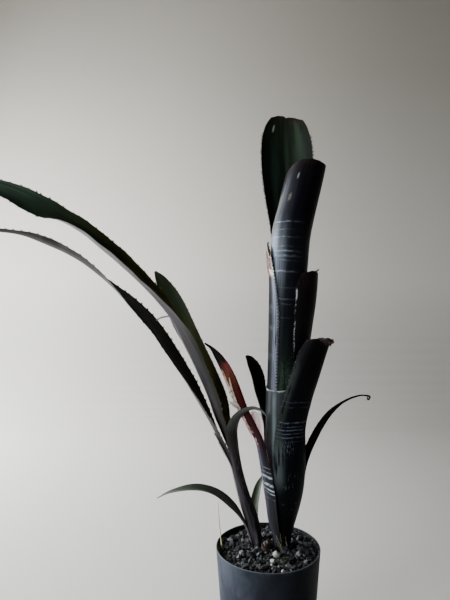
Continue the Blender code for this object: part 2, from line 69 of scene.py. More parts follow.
def openMesh(piece):
    pick(piece)
    bpy.ops.object.mode_set(mode="EDIT")
    bpy.ops.mesh.select_all(action="SELECT")


def closeMesh(inside=False):
    bpy.ops.mesh.select_all(action="SELECT")
    bpy.ops.mesh.normals_make_consistent(inside=inside)
    bpy.ops.object.mode_set(mode="OBJECT")


def smoothBelow(piece, degrees):
    pick(piece)
    bpy.ops.object.shade_smooth_by_angle(angle=radians(degrees))


def thicken(piece, thick, **settings):
    shell = piece.modifiers.new("thickness", "SOLIDIFY")
    shell.thickness = thick * mm
    for label, value in settings.items():
        setattr(shell, label, value)
    applyAll(piece)


def corners(piece):
    spots = np.empty(len(piece.data.vertices) * 3)
    piece.data.vertices.foreach_get("co", spots)
    return spots.reshape(-1, 3)


def setCorners(piece, spots, unitSize=mm):
    piece.data.vertices.foreach_set("co", (spots * unitSize).ravel())
    piece.data.update()


def attach(piece, name, kind, values):
    layer = piece.data.attributes.new(name, kind, "POINT")
    values = np.asarray(values, np.float32).ravel()
    layer.data.foreach_set("vector" if kind == "FLOAT_VECTOR" else "value", values)


def addPiece(name, data):
    piece = bpy.data.objects.new(name, data)
    bpy.context.scene.collection.objects.link(piece)
    return piece


def meshPiece(name, spots, faces):
    mesh = bpy.data.meshes.new(name)
    mesh.from_pydata((np.array(spots) * mm).tolist(), [], faces)
    return addPiece(name, mesh)


def gridPiece(name, columns, rows):
    # a flat grid, with each corner's place across from -1 to 1 and along from 0 to 1
    deselectAll()
    bpy.ops.mesh.primitive_grid_add(x_subdivisions=columns, y_subdivisions=rows, size=1)
    piece = bpy.context.object
    piece.name = name
    flat = corners(piece)
    return piece, np.clip(flat[:, 0] * 2, -1, 1), np.clip(flat[:, 1] + 0.5, 0, 1)


def takeShape(piece):
    # a mould's corners and faces as plain numbers, and the mould goes
    spots, faces = corners(piece), [tuple(face.vertices) for face in piece.data.polygons]
    bpy.data.objects.remove(piece)
    return spots, faces


def spike(sides, foot, tip, middle):
    deselectAll()
    bpy.ops.mesh.primitive_cone_add(
        vertices=sides, radius1=foot, radius2=tip, depth=1, location=(0, 0, middle))
    bpy.ops.object.transform_apply(location=True)
    return takeShape(bpy.context.object)


def dress(piece, *skins):
    piece.data.materials.clear()
    for skin in skins:
        piece.data.materials.append(skin)


def onPlant(piece, slot, *nodes):
    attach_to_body(piece, "root")
    if nodes:
        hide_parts(*nodes)


# material helpers

def newSkin(name):
    skin = bpy.data.materials.new(name)
    skin.use_nodes = True
    return skin, skin.node_tree, skin.node_tree.nodes["Principled BSDF"]


def feed(tree, socket, value):
    if isinstance(value, bpy.types.NodeSocket):
        tree.links.new(value, socket)
    elif socket.type == "RGBA":
        socket.default_value = (*(part / 1000 for part in value), 1)
    else:
        socket.default_value = value


def node(tree, kind, output, given, **settings):
    made = tree.nodes.new("ShaderNode" + kind)
    for label, value in settings.items():
        setattr(made, label, value)
    for label, value in given.items():
        feed(tree, made.inputs[label], value)
    return made.outputs[output]


def number(tree, how, *values, clamp=False):
    return node(tree, "Math", 0, dict(enumerate(values)), operation=how, use_clamp=clamp)


def times(tree, first, second, plus=None, clamp=False):
    if plus is None:
        return number(tree, "MULTIPLY", first, second, clamp=clamp)
    return number(tree, "MULTIPLY_ADD", first, second, plus, clamp=clamp)


def between(tree, value, low, high, first=0.0, last=1.0, kind="SMOOTHSTEP"):
    given = {"Value": value, "From Min": low, "From Max": high, "To Min": first, "To Max": last}
    return node(tree, "MapRange", "Result", given, interpolation_type=kind)


def within(tree, value, low, high, blur):
    # 1 between low and high, with blurred ends
    rise = between(tree, value, low - blur, low + blur)
    return times(tree, rise, between(tree, value, high - blur, high + blur, 1, 0))


def blend(tree, share, first, second, how="MIX"):
    return node(tree, "Mix", 2, {0: share, 6: first, 7: second}, data_type="RGBA", blend_type=how)


def grain(tree, where, scale, detail=2, rough=0.5, shift=(0, 0, 0)):
    # noise; three scales stretch it
    if isinstance(scale, tuple):
        where = node(tree, "Mapping", "Vector", {"Vector": where, "Scale": scale, "Location": shift})
        scale = 1
    given = {"Vector": where, "Scale": scale, "Detail": detail, "Roughness": rough}
    return node(tree, "TexNoise", "Fac", given)


def attribute(tree, name, output="Vector"):
    return node(tree, "Attribute", output, {}, attribute_name=name)


def apart(tree, vector):
    made = tree.nodes.new("ShaderNodeSeparateXYZ")
    feed(tree, made.inputs[0], vector)
    return made.outputs


def here(tree):
    return node(tree, "TexCoord", "Object", {})


def ramp(tree, share, stops):
    # each stop is a place and then one grey, or red, green and blue
    made = tree.nodes.new("ShaderNodeValToRGB")
    feed(tree, made.inputs[0], share)
    table = made.color_ramp.elements
    while len(table) < len(stops):
        table.new(0.5)
    for entry, (place, *colour) in zip(table, sorted(stops)):
        entry.position = place
        entry.color = (*(part / 1000 for part in (colour * 3)[:3]), 1)
    return made.outputs["Color"]


def paint(tree, shader, colour, rough, shine=0.5):
    feed(tree, shader.inputs["Base Color"], colour)
    feed(tree, shader.inputs["Roughness"], rough)
    feed(tree, shader.inputs["Specular IOR Level"], shine)


def bumps(tree, shader, height, strength, distance):
    normal = node(tree, "Bump", "Normal", {"Height": height, "Strength": strength, "Distance": distance})
    tree.links.new(normal, shader.inputs["Normal"])


def plainSkin(name, scale, detail, fineness, stops, rough, relief=0, depth=0.3):
    # one noise that gives both the colour and the relief
    skin, tree, shader = newSkin(name)
    fine = grain(tree, here(tree), scale, detail, fineness)
    paint(tree, shader, ramp(tree, fine, stops), rough)
    if relief:
        bumps(tree, shader, fine, relief, depth * mm)
    return skin


# leaf skin
# leafPlace holds, for each point of a leaf: millimetres across, millimetres along, share of the length.
# leafSide holds the place across from -1 to 1.

def patch(share, side, colour, amount=1, blurs=(0.12, 0.02), broken=None, seed=0):
    # a stain, or a painted sheen or highlight: where along and across, its colour and strength,
    # how soft its ends are across and along, and the size, threshold and stretch of the flecks it breaks into
    return dict(share=share, side=side, colour=colour, amount=amount, blurs=blurs, broken=broken, seed=seed)


def patchMask(tree, share, side, place, stainOrSheen):
    blur, soft = stainOrSheen["blurs"]
    mask = within(tree, share, *stainOrSheen["share"], soft)
    if stainOrSheen["side"]:
        mask = times(tree, mask, within(tree, side, *stainOrSheen["side"], blur))
    if stainOrSheen["broken"]:
        size, cut, stretch = stainOrSheen["broken"]
        flecks = grain(tree, place, (size, size * stretch, 0), 3, shift=(stainOrSheen["seed"], 0, 0))
        mask = times(tree, mask, between(tree, flecks, cut - 0.05, cut + 0.05))
    return times(tree, mask, stainOrSheen["amount"], clamp=True)


def bandMask(tree, look, place, side, height, seed):
    # silver cross bands at given heights: middle, half width, strength
    bands = look["bands"]
    low = min(at - half for at, half, _ in bands) - 1
    high = max(at + half for at, half, _ in bands) + 1
    swing = look.get("wave", 4)
    wave = grain(tree, place, (0.05, 0.004, 0), 2, shift=(seed, 1, 0))
    level = times(tree, side, -look.get("lean", 0), times(tree, wave, swing))
    level = times(tree, height, 1000, level)
    spot = between(tree, level, low + swing * 0.5, high + swing * 0.5, kind="LINEAR")
    rampBands = 9  # a ramp holds 32 stops, and a band takes three
    lines = 0
    for first in range(0, len(bands), rampBands):
        stops = {0.0: 0.0, 1.0: 0.0}
        for at, half, strength in bands[first:first + rampBands]:
            for offset, value in ((-half, 0.0), (0, strength), (half, 0.0)):
                stops[round((at + offset - low) / (high - low), 5)] = value * 1000
        lines = number(tree, "MAXIMUM", apart(tree, ramp(tree, spot, list(stops.items())))[0], lines)
    breaks = grain(tree, place, (0.16, 0.3, 0), 4, 0.6, (seed + 7, 0, 0))
    mask = times(tree, lines, between(tree, breaks, 0.37, 0.57, 0.08, 1), clamp=True)
    if "bandFade" in look:
        mask = times(tree, mask, between(tree, side, *look["bandFade"]))
    return mask


def leafSkin(name, look, seed):
    skin, tree, shader = newSkin(name)
    place = attribute(tree, "leafPlace")
    side = attribute(tree, "leafSide", "Fac")
    _, along, share = apart(tree, place)
    height = apart(tree, here(tree))[2]

    streaks = grain(tree, place, (0.9, 0.012, 0), 4, 0.6, (seed, 0, 0))
    mottle = grain(tree, place, (0.12, 0.03, 0), 3, shift=(seed + 3, 5, 0))
    depth = ramp(tree, streaks, [(0.36, look.get("dark", 0.45) * 1000), (0.64, 1400)])
    colour = blend(tree, 1, ramp(tree, share, look["colours"]), depth, "MULTIPLY")
    if "mottle" in look:
        amount, tint = look["mottle"]
        colour = blend(tree, between(tree, mottle, 0.42, 0.68, 0, amount), colour, tint)

    # scurf: the fine silvery scales, thicker in some streaks than in others
    speckle = grain(tree, place, (2.2, 1.3, 0), 3, 0.7, (seed, 2, 0))
    cover = times(tree, between(tree, speckle, 0.38, 0.72), between(tree, mottle, 0.3, 0.7, 0.35, 1))
    silver = look.get("silver", (300, 330, 360))
    colour = blend(tree, times(tree, cover, look.get("scurf", 0.2)), colour, silver)

    if "bands" in look:
        mask = bandMask(tree, look, place, side, height, seed)
        colour = blend(tree, mask, colour, look.get("bandColour", (420, 460, 500)))
    # stains, and painted sheens and highlights, laid over the colour
    for stainOrSheen in look.get("patches", []):
        colour = blend(tree, patchMask(tree, share, side, place, stainOrSheen), colour, stainOrSheen["colour"])
    if "margin" in look:
        at, tint = look["margin"]
        colour = blend(tree, between(tree, number(tree, "ABSOLUTE", side), at, at + 0.02), colour, tint)
    if "beads" in look:
        low, high, gap, tint = look["beads"]
        beat = number(tree, "SINE", times(tree, mottle, 9, times(tree, along, 2 * pi / gap)))
        row = times(tree, within(tree, side, low, high, 0.02), between(tree, beat, -0.3, 0.5))
        colour = blend(tree, row, colour, tint)
    if "tip" in look:
        at, tint = look["tip"]
        ragged = times(tree, mottle, 0.03, share)
        colour = blend(tree, between(tree, ragged, at + 0.012, at + 0.028), colour, tint)

    gloss = look.get("rough", 0.42)
    paint(tree, shader, colour, between(tree, cover, 0, 1, gloss, gloss + 0.16), look.get("shine", 0.5))
    if "shineAlong" in look:
        level = apart(tree, ramp(tree, share, look["shineAlong"]))[0]
        feed(tree, shader.inputs["Specular IOR Level"], level)
    if "shineAcross" in look:
        feed(tree, shader.inputs["Specular IOR Level"], between(tree, side, *look["shineAcross"]))
    feed(tree, shader.inputs["Specular Tint"], look.get("shineTint", (1000, 1000, 1000)))
    if "thin" in look:  # a dry leaf lets light through
        shader.inputs["Subsurface Weight"].default_value = look["thin"]
        shader.inputs["Subsurface Radius"].default_value = (1.0, 0.7, 0.75)
        shader.inputs["Subsurface Scale"].default_value = 4 * mm
    ribs = grain(tree, place, (1.6, 0.01, 0), 2, shift=(seed, 0, 0))
    bumps(tree, shader, times(tree, speckle, 0.12, ribs), 0.35, 0.4 * mm)
    return skin


# leaf shape
# The same surfaces as the solids: sheaths nested round each tube's line, then a blade through its own
# places. A tube's reach is its radius at each height, and its step is the gap from sheath to sheath.
# A leaf's sheath holds heights and half angles of wrap. A row of its blade holds x, y, z, half width,
# half of the channel's angle, twist. Its end holds how far the cut end lies back, across the leaf.

tallTube = dict(
    line=[
        (15.6, 12, 80), (15.8, 12, 104), (16.8, 12.8, 118), (18, 14.2, 139), (18.7, 15.4, 160), (19, 16, 185),
        (18.8, 16, 222), (18.7, 16, 254), (20.3, 16, 300), (22, 16, 358), (24, 16.5, 405), (25.5, 17, 440),
    ],
    reach=[
        (80, 7.2), (104, 7.4), (112, 8.2), (120, 9.8), (128, 12.0), (139, 14.8), (149, 17.4), (160, 19.6),
        (172, 21.2), (188, 22.2), (222, 22.2), (254, 21.8), (300, 22.2), (358, 23.0), (410, 24.2),
        (440, 24.4),
    ],
    step=1.2,
)
youngTube = dict(
    line=[
        (-9, 16, 80), (-9.5, 16, 100), (-11.5, 17, 112), (-15.5, 18, 128), (-22.5, 18, 149),
        (-29, 18, 172), (-35, 17, 200), (-40, 16, 223), (-46, 15, 245),
    ],
    reach=[
        (80, 6.2), (104, 6.4), (112, 7.2), (120, 8.2), (128, 8.8), (149, 8.4), (172, 7.4), (200, 8.2),
        (245, 8.6),
    ],
    step=1.0,
)
leafFoot = 88.3
sheathRows = (104, 114, 124, 135, 147, 161, 178, 200, 226, 254, 284, 314, 346)
rowGap = 3
outerLayer = 5
fineSteps = 500
leafThickness = 0.55
ripple = dict(long=9.0, short=4.3, rise=25)  # wave lengths, and how soon the waves set in above the sheath
# where a tooth stands across the leaf, how it leans and sinks in, and how small it gets on a narrow blade
teeth = dict(edge=0.995, inner=0.9, lean=0.8, sunk=0.15, fullHalf=5, least=0.45, sizes=(0.7, 1.15))


def smoothThrough(knots, values, at):
    # a smooth curve through the given values, which keeps their slopes
    knots, values = np.asarray(knots, float), np.asarray(values, float)
    widths = np.diff(knots)
    rises = np.diff(values, axis=0) / widths[:, None]
    slopes = np.empty_like(values)
    before, after = widths[:-1, None], widths[1:, None]
    slopes[1:-1] = (after * rises[:-1] + before * rises[1:]) / (before + after)
    slopes[0], slopes[-1] = rises[0], rises[-1]
    cell = np.clip(np.searchsorted(knots, at, side="right") - 1, 0, len(widths) - 1)
    wide = widths[cell][:, None]
    t = (at - knots[cell])[:, None] / wide
    return ((2 * t**3 - 3 * t**2 + 1) * values[cell] + (t**3 - 2 * t**2 + t) * wide * slopes[cell]
            + (3 * t**2 - 2 * t**3) * values[cell + 1] + (t**3 - t**2) * wide * slopes[cell + 1])


def unit(vectors):
    return vectors / np.linalg.norm(vectors, axis=-1, keepdims=True)


def distances(knots):
    return np.concatenate([[0], np.cumsum(np.linalg.norm(np.diff(knots[:, :3], axis=0), axis=1))])


def sampled(place, fine, *tables):
    return (np.column_stack([np.interp(place, fine, column) for column in table.T]) for table in tables)


def leafSurface(leaf, tube):
    low, high = max(leaf["sheath"][0][0], leafFoot), leaf["sheath"][-1][0]
    heights = np.array([low, *(h for h in sheathRows if low + rowGap < h < high - rowGap), high], float)
    reach = np.array(tube["reach"], float)
    radius = smoothThrough(reach[:, 0], reach[:, 1:], heights)[:, 0]
    radius = radius - tube["step"] * (outerLayer - leaf["layer"])
    wrap = np.interp(heights, *np.transpose(leaf["sheath"]))
    side = radians(leaf["side"])
    line = np.array(tube["line"], float)
    stations = smoothThrough(line[:, 2], line, heights)
    stations[:, 0] += radius * cos(side)
    stations[:, 1] += radius * sin(side)
    sheath = np.column_stack([stations, radius * np.radians(wrap), wrap, np.zeros(len(heights))])
    knots = np.vstack([sheath, np.array(leaf.get("blade", []), float).reshape(-1, 6)])
    places = distances(knots)
    fine = np.linspace(0, places[-1], fineSteps)
    rows = smoothThrough(places, knots, fine)
    tangents = unit(np.gradient(rows[:, :3], axis=0))
    inward = np.array([-cos(side), -sin(side), 0.0])
    inwards = np.empty_like(tangents)
    for i, tangent in enumerate(tangents):
        inward = unit(inward - tangent * inward.dot(tangent))
        inwards[i] = inward
    twist = np.radians(rows[:, 5])[:, None]
    turned = inwards * np.cos(twist) + np.cross(tangents, inwards) * np.sin(twist)
    return dict(
        length=places[-1], bladeFrom=places[len(heights) - 1], fine=fine, rows=rows, turned=turned,
        across=np.cross(tangents, turned), cut=np.transpose(leaf.get("end", [(-1, 0), (1, 0)])),
        wave=leaf.get("wave", 0), jag=leaf.get("jag", 0), seed=sum(map(ord, leaf["name"])) % 97,
    )


def pointsOn(surface, u, place):
    # the blade is a channel with a ragged cut end, and its margins ripple above the sheath
    seed = surface["seed"]
    cut = np.interp(u, *surface["cut"])
    cut = cut + surface["jag"] * (np.sin(u * 9 + seed) + 0.6 * np.sin(u * 23 + 2 * seed)) * 0.6
    place = place * (1 - cut / surface["length"])
    rows, turned, across = sampled(
        place, surface["fine"], surface["rows"], surface["turned"], surface["across"])
    half = np.maximum(rows[:, 3], 0.5)[:, None]
    angle = np.radians(np.maximum(rows[:, 4], 4))[:, None]
    reach = half / angle
    u = u[:, None]
    spots = rows[:, :3] + across * reach * np.sin(u * angle) + turned * reach * (1 - np.cos(u * angle))
    free = np.clip((place - surface["bladeFrom"]) / ripple["rise"], 0, 1)[:, None]
    wave = np.sin(place / ripple["long"] + seed)[:, None] * 0.6
    wave = wave + np.sin(place / ripple["short"] + 2 * seed + u[:, 0])[:, None] * 0.4
    return spots + turned * surface["wave"] * free * wave * np.abs(u) ** 3, half[:, 0]


# one tooth: a flattened five-sided horn, a millimetre long, pointing along +Z
toothSpots, toothFaces = spike(5, 0.5, 0.04, 0.5)
toothSpots[:, 0] *= 0.6
horn = plainSkin("toothHorn", 900, 2, 0.5, [(0.3, 12, 7, 5), (0.7, 50, 30, 18)], 0.45)


def addTeeth(piece, surface, leaf):
    draw = np.random.default_rng(surface["seed"])
    start = max(surface["bladeFrom"] * leaf.get("toothFrom", 0.75), 12)
    stop = surface["length"] - leaf.get("toothStop", 6)
    if stop - start < 8:
        return
    gap = leaf.get("toothGap", 6.5)
    count = int((stop - start) / gap)
    spots, faces = [], []
    for margin in (-1.0, 1.0):
        places = start + (np.arange(count) + draw.uniform(-0.25, 0.25, count)) * gap
        u = np.full(count, margin)
        foot, half = pointsOn(surface, u * teeth["edge"], places)
        inner, _ = pointsOn(surface, u * teeth["inner"], places)
        ahead, _ = pointsOn(surface, u * teeth["edge"], places + 1.0)
        level, = sampled(places, surface["fine"], surface["across"])
        out = unit(unit(foot - inner) + level * margin * leaf.get("toothSpread", 0))
        forward = unit(ahead - foot)
        point = unit(out + forward * teeth["lean"])
        flat = unit(np.cross(point, np.cross(out, forward)))
        thick = np.cross(flat, point)
        size = leaf.get("toothSize", 1.0) * draw.uniform(*teeth["sizes"], count)
        size = size * np.clip(half / teeth["fullHalf"], teeth["least"], 1)
        for i in range(count):
            base = len(spots)
            turn = np.array([thick[i], flat[i], point[i]])
            spots.extend(foot[i] - point[i] * teeth["sunk"] + (toothSpots * size[i]) @ turn)
            faces.extend(tuple(base + corner for corner in face) for face in toothFaces)
    row = meshPiece("teeth", spots, faces)
    dress(row, horn)
    openMesh(row)
    closeMesh()
    joinInto(piece, [row])


def growLeaf(leaf, tube, seed):
    surface = leafSurface(leaf, tube)
    length = surface["length"]
    rows = int(length / leaf.get("row", 2.2))
    piece, u, share = gridPiece(leaf["name"], leaf["columns"], rows)
    spots, half = pointsOn(surface, u, share * length)
    setCorners(piece, spots)
    attach(piece, "leafPlace", "FLOAT_VECTOR", np.column_stack([u * half, share * length, share]))
    attach(piece, "leafSide", "FLOAT", u)
    inner = leafSkin(leaf["name"] + "Inner", leaf["inner"], seed)
    dress(piece, inner, leafSkin(leaf["name"] + "Outer", leaf["outer"], seed + 1))
    thicken(piece, leafThickness, offset=0, material_offset=1, material_offset_rim=1)
    if leaf.get("toothed", True):
        addTeeth(piece, surface, leaf)
    smoothBelow(piece, 50)
    onPlant(piece, leaf["slot"], leaf["node"])


# the tall shoot

paleFoot = (110, 115, 60)

backLeaf = dict(
    name="backLeaf", node="tall_leaf_back", slot="leaf_green", side=86, layer=-0.3, columns=30,
    sheath=[(121, 100), (180, 100), (300, 100), (385, 98)],
    blade=[
        (24, 34, 412, 23.2, 80, 0), (24.5, 37, 430, 22.6, 62, 0), (25, 40, 452, 25, 50, 0),
        (24.6, 42, 480, 28.2, 42, 0), (23.9, 43, 512, 29.8, 38, 0), (23.3, 44.5, 538, 26.8, 34, 0),
        (23.3, 46, 553, 21, 30, 0), (23.3, 46.5, 562, 14.2, 28, 0),
    ],
    end=[(-1, 3), (-0.6, 0), (-0.1, 0.4), (0.05, 2.6), (0.2, 1.8), (0.6, 3), (1, 7)], wave=0.5, jag=0.15,
    toothSize=2.3, toothGap=3.8, toothSpread=0.6, toothStop=16,
    inner=dict(
        colours=[(0, 20, 25, 12), (0.6, 3, 4, 3), (0.74, 5, 9, 6), (0.9, 7, 13, 8), (1, 20, 26, 12)],
        dark=0.35, scurf=0.03, rough=0.5, shine=0.12, margin=(0.975, (20, 20, 14)),
        patches=[
            patch((0.9, 0.985), (0.42, 0.62), (120, 155, 100), 0.85, (0.12, 0.05), (0.5, 0.32, 0.03)),
            patch((0.8, 0.985), (0.25, 0.75), (50, 80, 50), 0.75, (0.2, 0.08), (0.5, 0.4, 0.03)),
            patch((0.8, 0.97), (-0.05, 0.12), (45, 75, 45), 0.6, (0.1, 0.06), (0.4, 0.4, 0.03)),
            patch((0.7, 0.93), (-0.6, -0.3), (25, 50, 35), 0.7, (0.14, 0.06), (0.4, 0.42, 0.03)),
            # painted highlight: a short pale dash near the top
            patch((0.958, 0.974), (-0.6, -0.53), (500, 500, 460), 0.85, (0.03, 0.004)),
        ],
        tip=(0.988, (35, 22, 12)),
    ),
    outer=dict(
        colours=[(0, *paleFoot), (0.1, 30, 35, 30), (0.5, 12, 16, 16), (1, 16, 22, 16)], scurf=0.28,
        rough=0.42, wave=5,
        bands=[
            (530, 3, 0.5), (518, 2, 0.35), (500, 4, 0.5), (486, 2, 0.3), (470, 3, 0.45), (455, 5, 0.4),
            (436, 3, 0.5),
        ],
    ),
)

frontLeaf = dict(
    name="frontLeaf", node="tall_leaf_front", slot="leaf_silvered", side=-88, layer=1, columns=34,
    sheath=[(113, 118), (180, 118), (300, 118), (395, 106)],
    blade=[
        (26.7, -3.5, 429, 33.5, 96, 0), (32.7, -2.5, 455, 31.3, 92, 0), (39, -2, 481, 29.8, 88, 0),
        (45.3, -1, 502.5, 25.3, 82, 0),
    ],
    end=[(-1, 0), (-0.3, 0.5), (0, 1.5), (0.35, 3.5), (0.7, 9.5), (1, 18)], wave=0.3, jag=0.3,
    toothSize=1.8, toothStop=12,
    inner=dict(
        colours=[(0, 20, 20, 12), (0.8, 4, 5, 5), (1, 12, 16, 10)], scurf=0.05, rough=0.45, shine=0.35,
        tip=(0.985, (40, 30, 20)),
    ),
    outer=dict(
        colours=[
            (0, *paleFoot), (0.08, 20, 24, 20), (0.36, 8, 16, 12), (0.5, 6, 10, 9), (0.62, 7, 8, 12),
            (0.93, 6, 5, 9), (1, 12, 8, 8),
        ],
        dark=0.4, scurf=0.014, silver=(160, 190, 250), rough=0.36, shine=0.42,
        shineAlong=[(0.44, 80), (0.62, 100), (0.7, 380), (0.78, 420), (0.86, 140)],
        shineTint=(850, 920, 1000), margin=(0.985, (50, 50, 50)), bandColour=(360, 420, 520), lean=2,
        wave=3.5, bandFade=(-0.45, 0.75),
        bands=[
            (437, 0.9, 0.75), (429, 0.7, 0.35), (421.5, 0.9, 0.6), (412, 0.8, 0.4), (407.5, 1.1, 1),
            (402.5, 1.6, 0.7), (398, 0.9, 0.4), (387, 1.3, 0.95), (370.5, 0.8, 0.25), (359, 1, 0.4),
            (354, 0.8, 0.3), (340, 0.8, 0.18),
        ],
        patches=[
            # painted sheen: a silver-blue glow down the window side, fading towards the middle
            patch((0.6, 0.81), (0.6, 1.3), (200, 250, 330), 0.9, (0.26, 0.03), (0.35, 0.36, 0.04)),
            patch((0.66, 0.78), (0.3, 0.75), (70, 85, 120), 0.7, (0.2, 0.03), (0.5, 0.5, 0.03)),
            patch((0.82, 0.93), (0.72, 1.2), (130, 130, 120), 0.8, (0.1, 0.03), (0.35, 0.42, 0.08)),
            patch((0.948, 0.961), (0.28, 0.32), (350, 350, 340), 0.9, (0.02, 0.004)),
            patch((0.892, 0.908), (0.36, 0.45), (240, 210, 160), 0.85, (0.04, 0.006), (1.5, 0.5, 0.9)),
            patch((0.36, 0.46), (-0.1, 0.3), (25, 50, 30), 0.8, (0.15, 0.03), (0.4, 0.46, 0.1)),
            patch((0.35, 0.5), (-0.25, 0.2), (280, 320, 260), 0.8, (0.05, 0.02), (1.3, 0.66, 0.8)),
        ],
        tip=(0.985, (20, 13, 10)),
    ),
)

leftLeaf = dict(
    name="leftLeaf", node="tall_leaf_left", slot="leaf_silvered", side=180, layer=2, columns=20,
    sheath=[(88, 57), (180, 57), (345, 57), (358, 53), (373, 44)],
    blade=[(2.4, 16, 398, 10, 30, 0), (1.8, 16, 410, 6.4, 22, 0), (1.8, 16, 419, 3, 14, 0)],
    end=[(-1, 6), (0, 0), (0.5, 4), (1, 10)], wave=0.3, jag=0.8, toothSize=1.8, toothGap=3.4,
    toothFrom=0.42, toothStop=30,
    inner=dict(colours=[(0, 20, 20, 12), (0.9, 20, 20, 16), (1, 300, 220, 150)], scurf=0.1),
    outer=dict(
        colours=[
            (0, *paleFoot), (0.1, 30, 34, 30), (0.4, 6, 10, 9), (0.6, 4, 5, 6), (0.85, 4, 4.5, 6),
            (1, 60, 45, 35),
        ],
        dark=0.4, scurf=0.025, silver=(160, 180, 220), rough=0.5, shine=0.16,
        shineAcross=(-0.75, -0.35, 0.2, 0.02), shineTint=(880, 930, 1000),
        beads=(-1.1, -0.9, 3.4, (12, 12, 16)), bands=[(350, 6, 0.12), (330, 4, 0.1), (300, 5, 0.08)],
        patches=[
            # painted sheen: bright blue streaks beside the right margin, where the window light falls
            patch((0.4, 0.93), (-0.95, -0.64), (170, 180, 240), 0.85, (0.09, 0.04), (0.8, 0.42, 0.05)),
            patch((0.4, 0.62), (-1.1, -0.86), (400, 440, 480), 0.7, (0.05, 0.05), (1.6, 0.52, 0.9)),
            patch((0.5, 0.9), (-0.4, 0.2), (20, 22, 28), 0.25, (0.15, 0.06), (0.4, 0.45, 0.04)),
            patch((0.93, 1.02), None, (620, 420, 300), 0.95, (0.12, 0.012), (0.5, 0.46, 0.5)),
            patch((0.905, 0.955), (-1.1, -0.2), (850, 720, 620), 0.95, (0.1, 0.01), (0.6, 0.42, 0.5)),
        ],
    ),
)

rightLeaf = dict(
    name="rightLeaf", node="tall_leaf_right", slot="leaf_dark", side=-5, layer=2, columns=26,
    sheath=[(88, 56), (180, 52), (225, 48)],
    blade=[
        (38.7, 16, 250, 17, 51, 0), (41, 16, 278, 24, 69, 0), (44.9, 16, 311, 29.2, 82, 0),
        (48, 15.5, 333, 32, 88, 0), (51.5, 15, 358, 34, 94, 0), (53, 15, 375, 33.4, 94, 0),
        (53.6, 15, 388, 27, 82, 0),
    ],
    end=[(-1, 6), (-0.3, 0), (0.2, 2), (0.6, 0), (1, 3)], wave=0.25, jag=0.3, toothSize=1.6,
    inner=dict(colours=[(0, 20, 20, 12), (0.8, 5, 6, 5), (1, 10, 13, 9)], scurf=0.05),
    outer=dict(
        colours=[(0, *paleFoot), (0.1, 12, 13, 12), (0.5, 3, 3.5, 4), (0.9, 4, 3, 4), (1, 12, 5, 6)],
        dark=0.4, scurf=0.012, silver=(120, 130, 170), rough=0.42, shine=0.25, margin=(0.985, (20, 20, 20)),
        patches=[
            patch((0.905, 0.938), (0.955, 1.2), (800, 820, 800), 1, (0.012, 0.006), (0.9, 0.4, 0.5)),
            patch((0.86, 0.9), (0.97, 1.2), (500, 520, 500), 1, (0.01, 0.006), (0.9, 0.56, 0.5)),
            patch((0.73, 0.83), (0.965, 1.2), (600, 620, 600), 1, (0.01, 0.006), (0.7, 0.5, 1)),
            patch((0.945, 0.99), (0.2, 0.9), (60, 20, 24), 0.3, (0.15, 0.01), (0.5, 0.55, 0.5)),
        ],
        tip=(0.985, (20, 12, 12)),
    ),
)

collarLeaf = dict(
    name="collarLeaf", node="tall_leaf_collar", slot="leaf_silvered", side=-142, layer=2.95, columns=24,
    sheath=[(88, 70), (180, 70), (270, 70)], end=[(-1, 1), (-0.5, 3), (0, 4), (0.6, 3), (1, 0)], jag=0.35,
    toothed=False,
    inner=dict(colours=[(0, 30, 30, 20), (1, 30, 30, 20)], scurf=0.05),
    outer=dict(
        colours=[
            (0, *paleFoot), (0.12, 35, 40, 34), (0.5, 16, 26, 24), (0.78, 9, 15, 14), (0.93, 8, 10, 14),
            (1, 20, 24, 24),
        ],
        dark=0.45, scurf=0.06, silver=(200, 240, 260), rough=0.42, shine=0.4,
        shineAcross=(-0.1, 0.25, 0.42, 0.04), shineTint=(850, 950, 1000), tip=(0.9965, (700, 720, 680)),
        patches=[
            patch((0.5, 0.99), (0.12, 1.2), (7, 9, 10), 0.85, (0.15, 0.05)),
            patch((0.7, 0.99), (-1.1, -0.35), (8, 9, 14), 0.8, (0.2, 0.04), (0.4, 0.4, 0.04)),
            # painted highlight: a pale streak down the strip that faces the window
            patch((0.45, 0.985), (-0.27, -0.1), (160, 200, 200), 0.8, (0.07, 0.05), (0.5, 0.36, 0.04)),
        ],
    ),
)

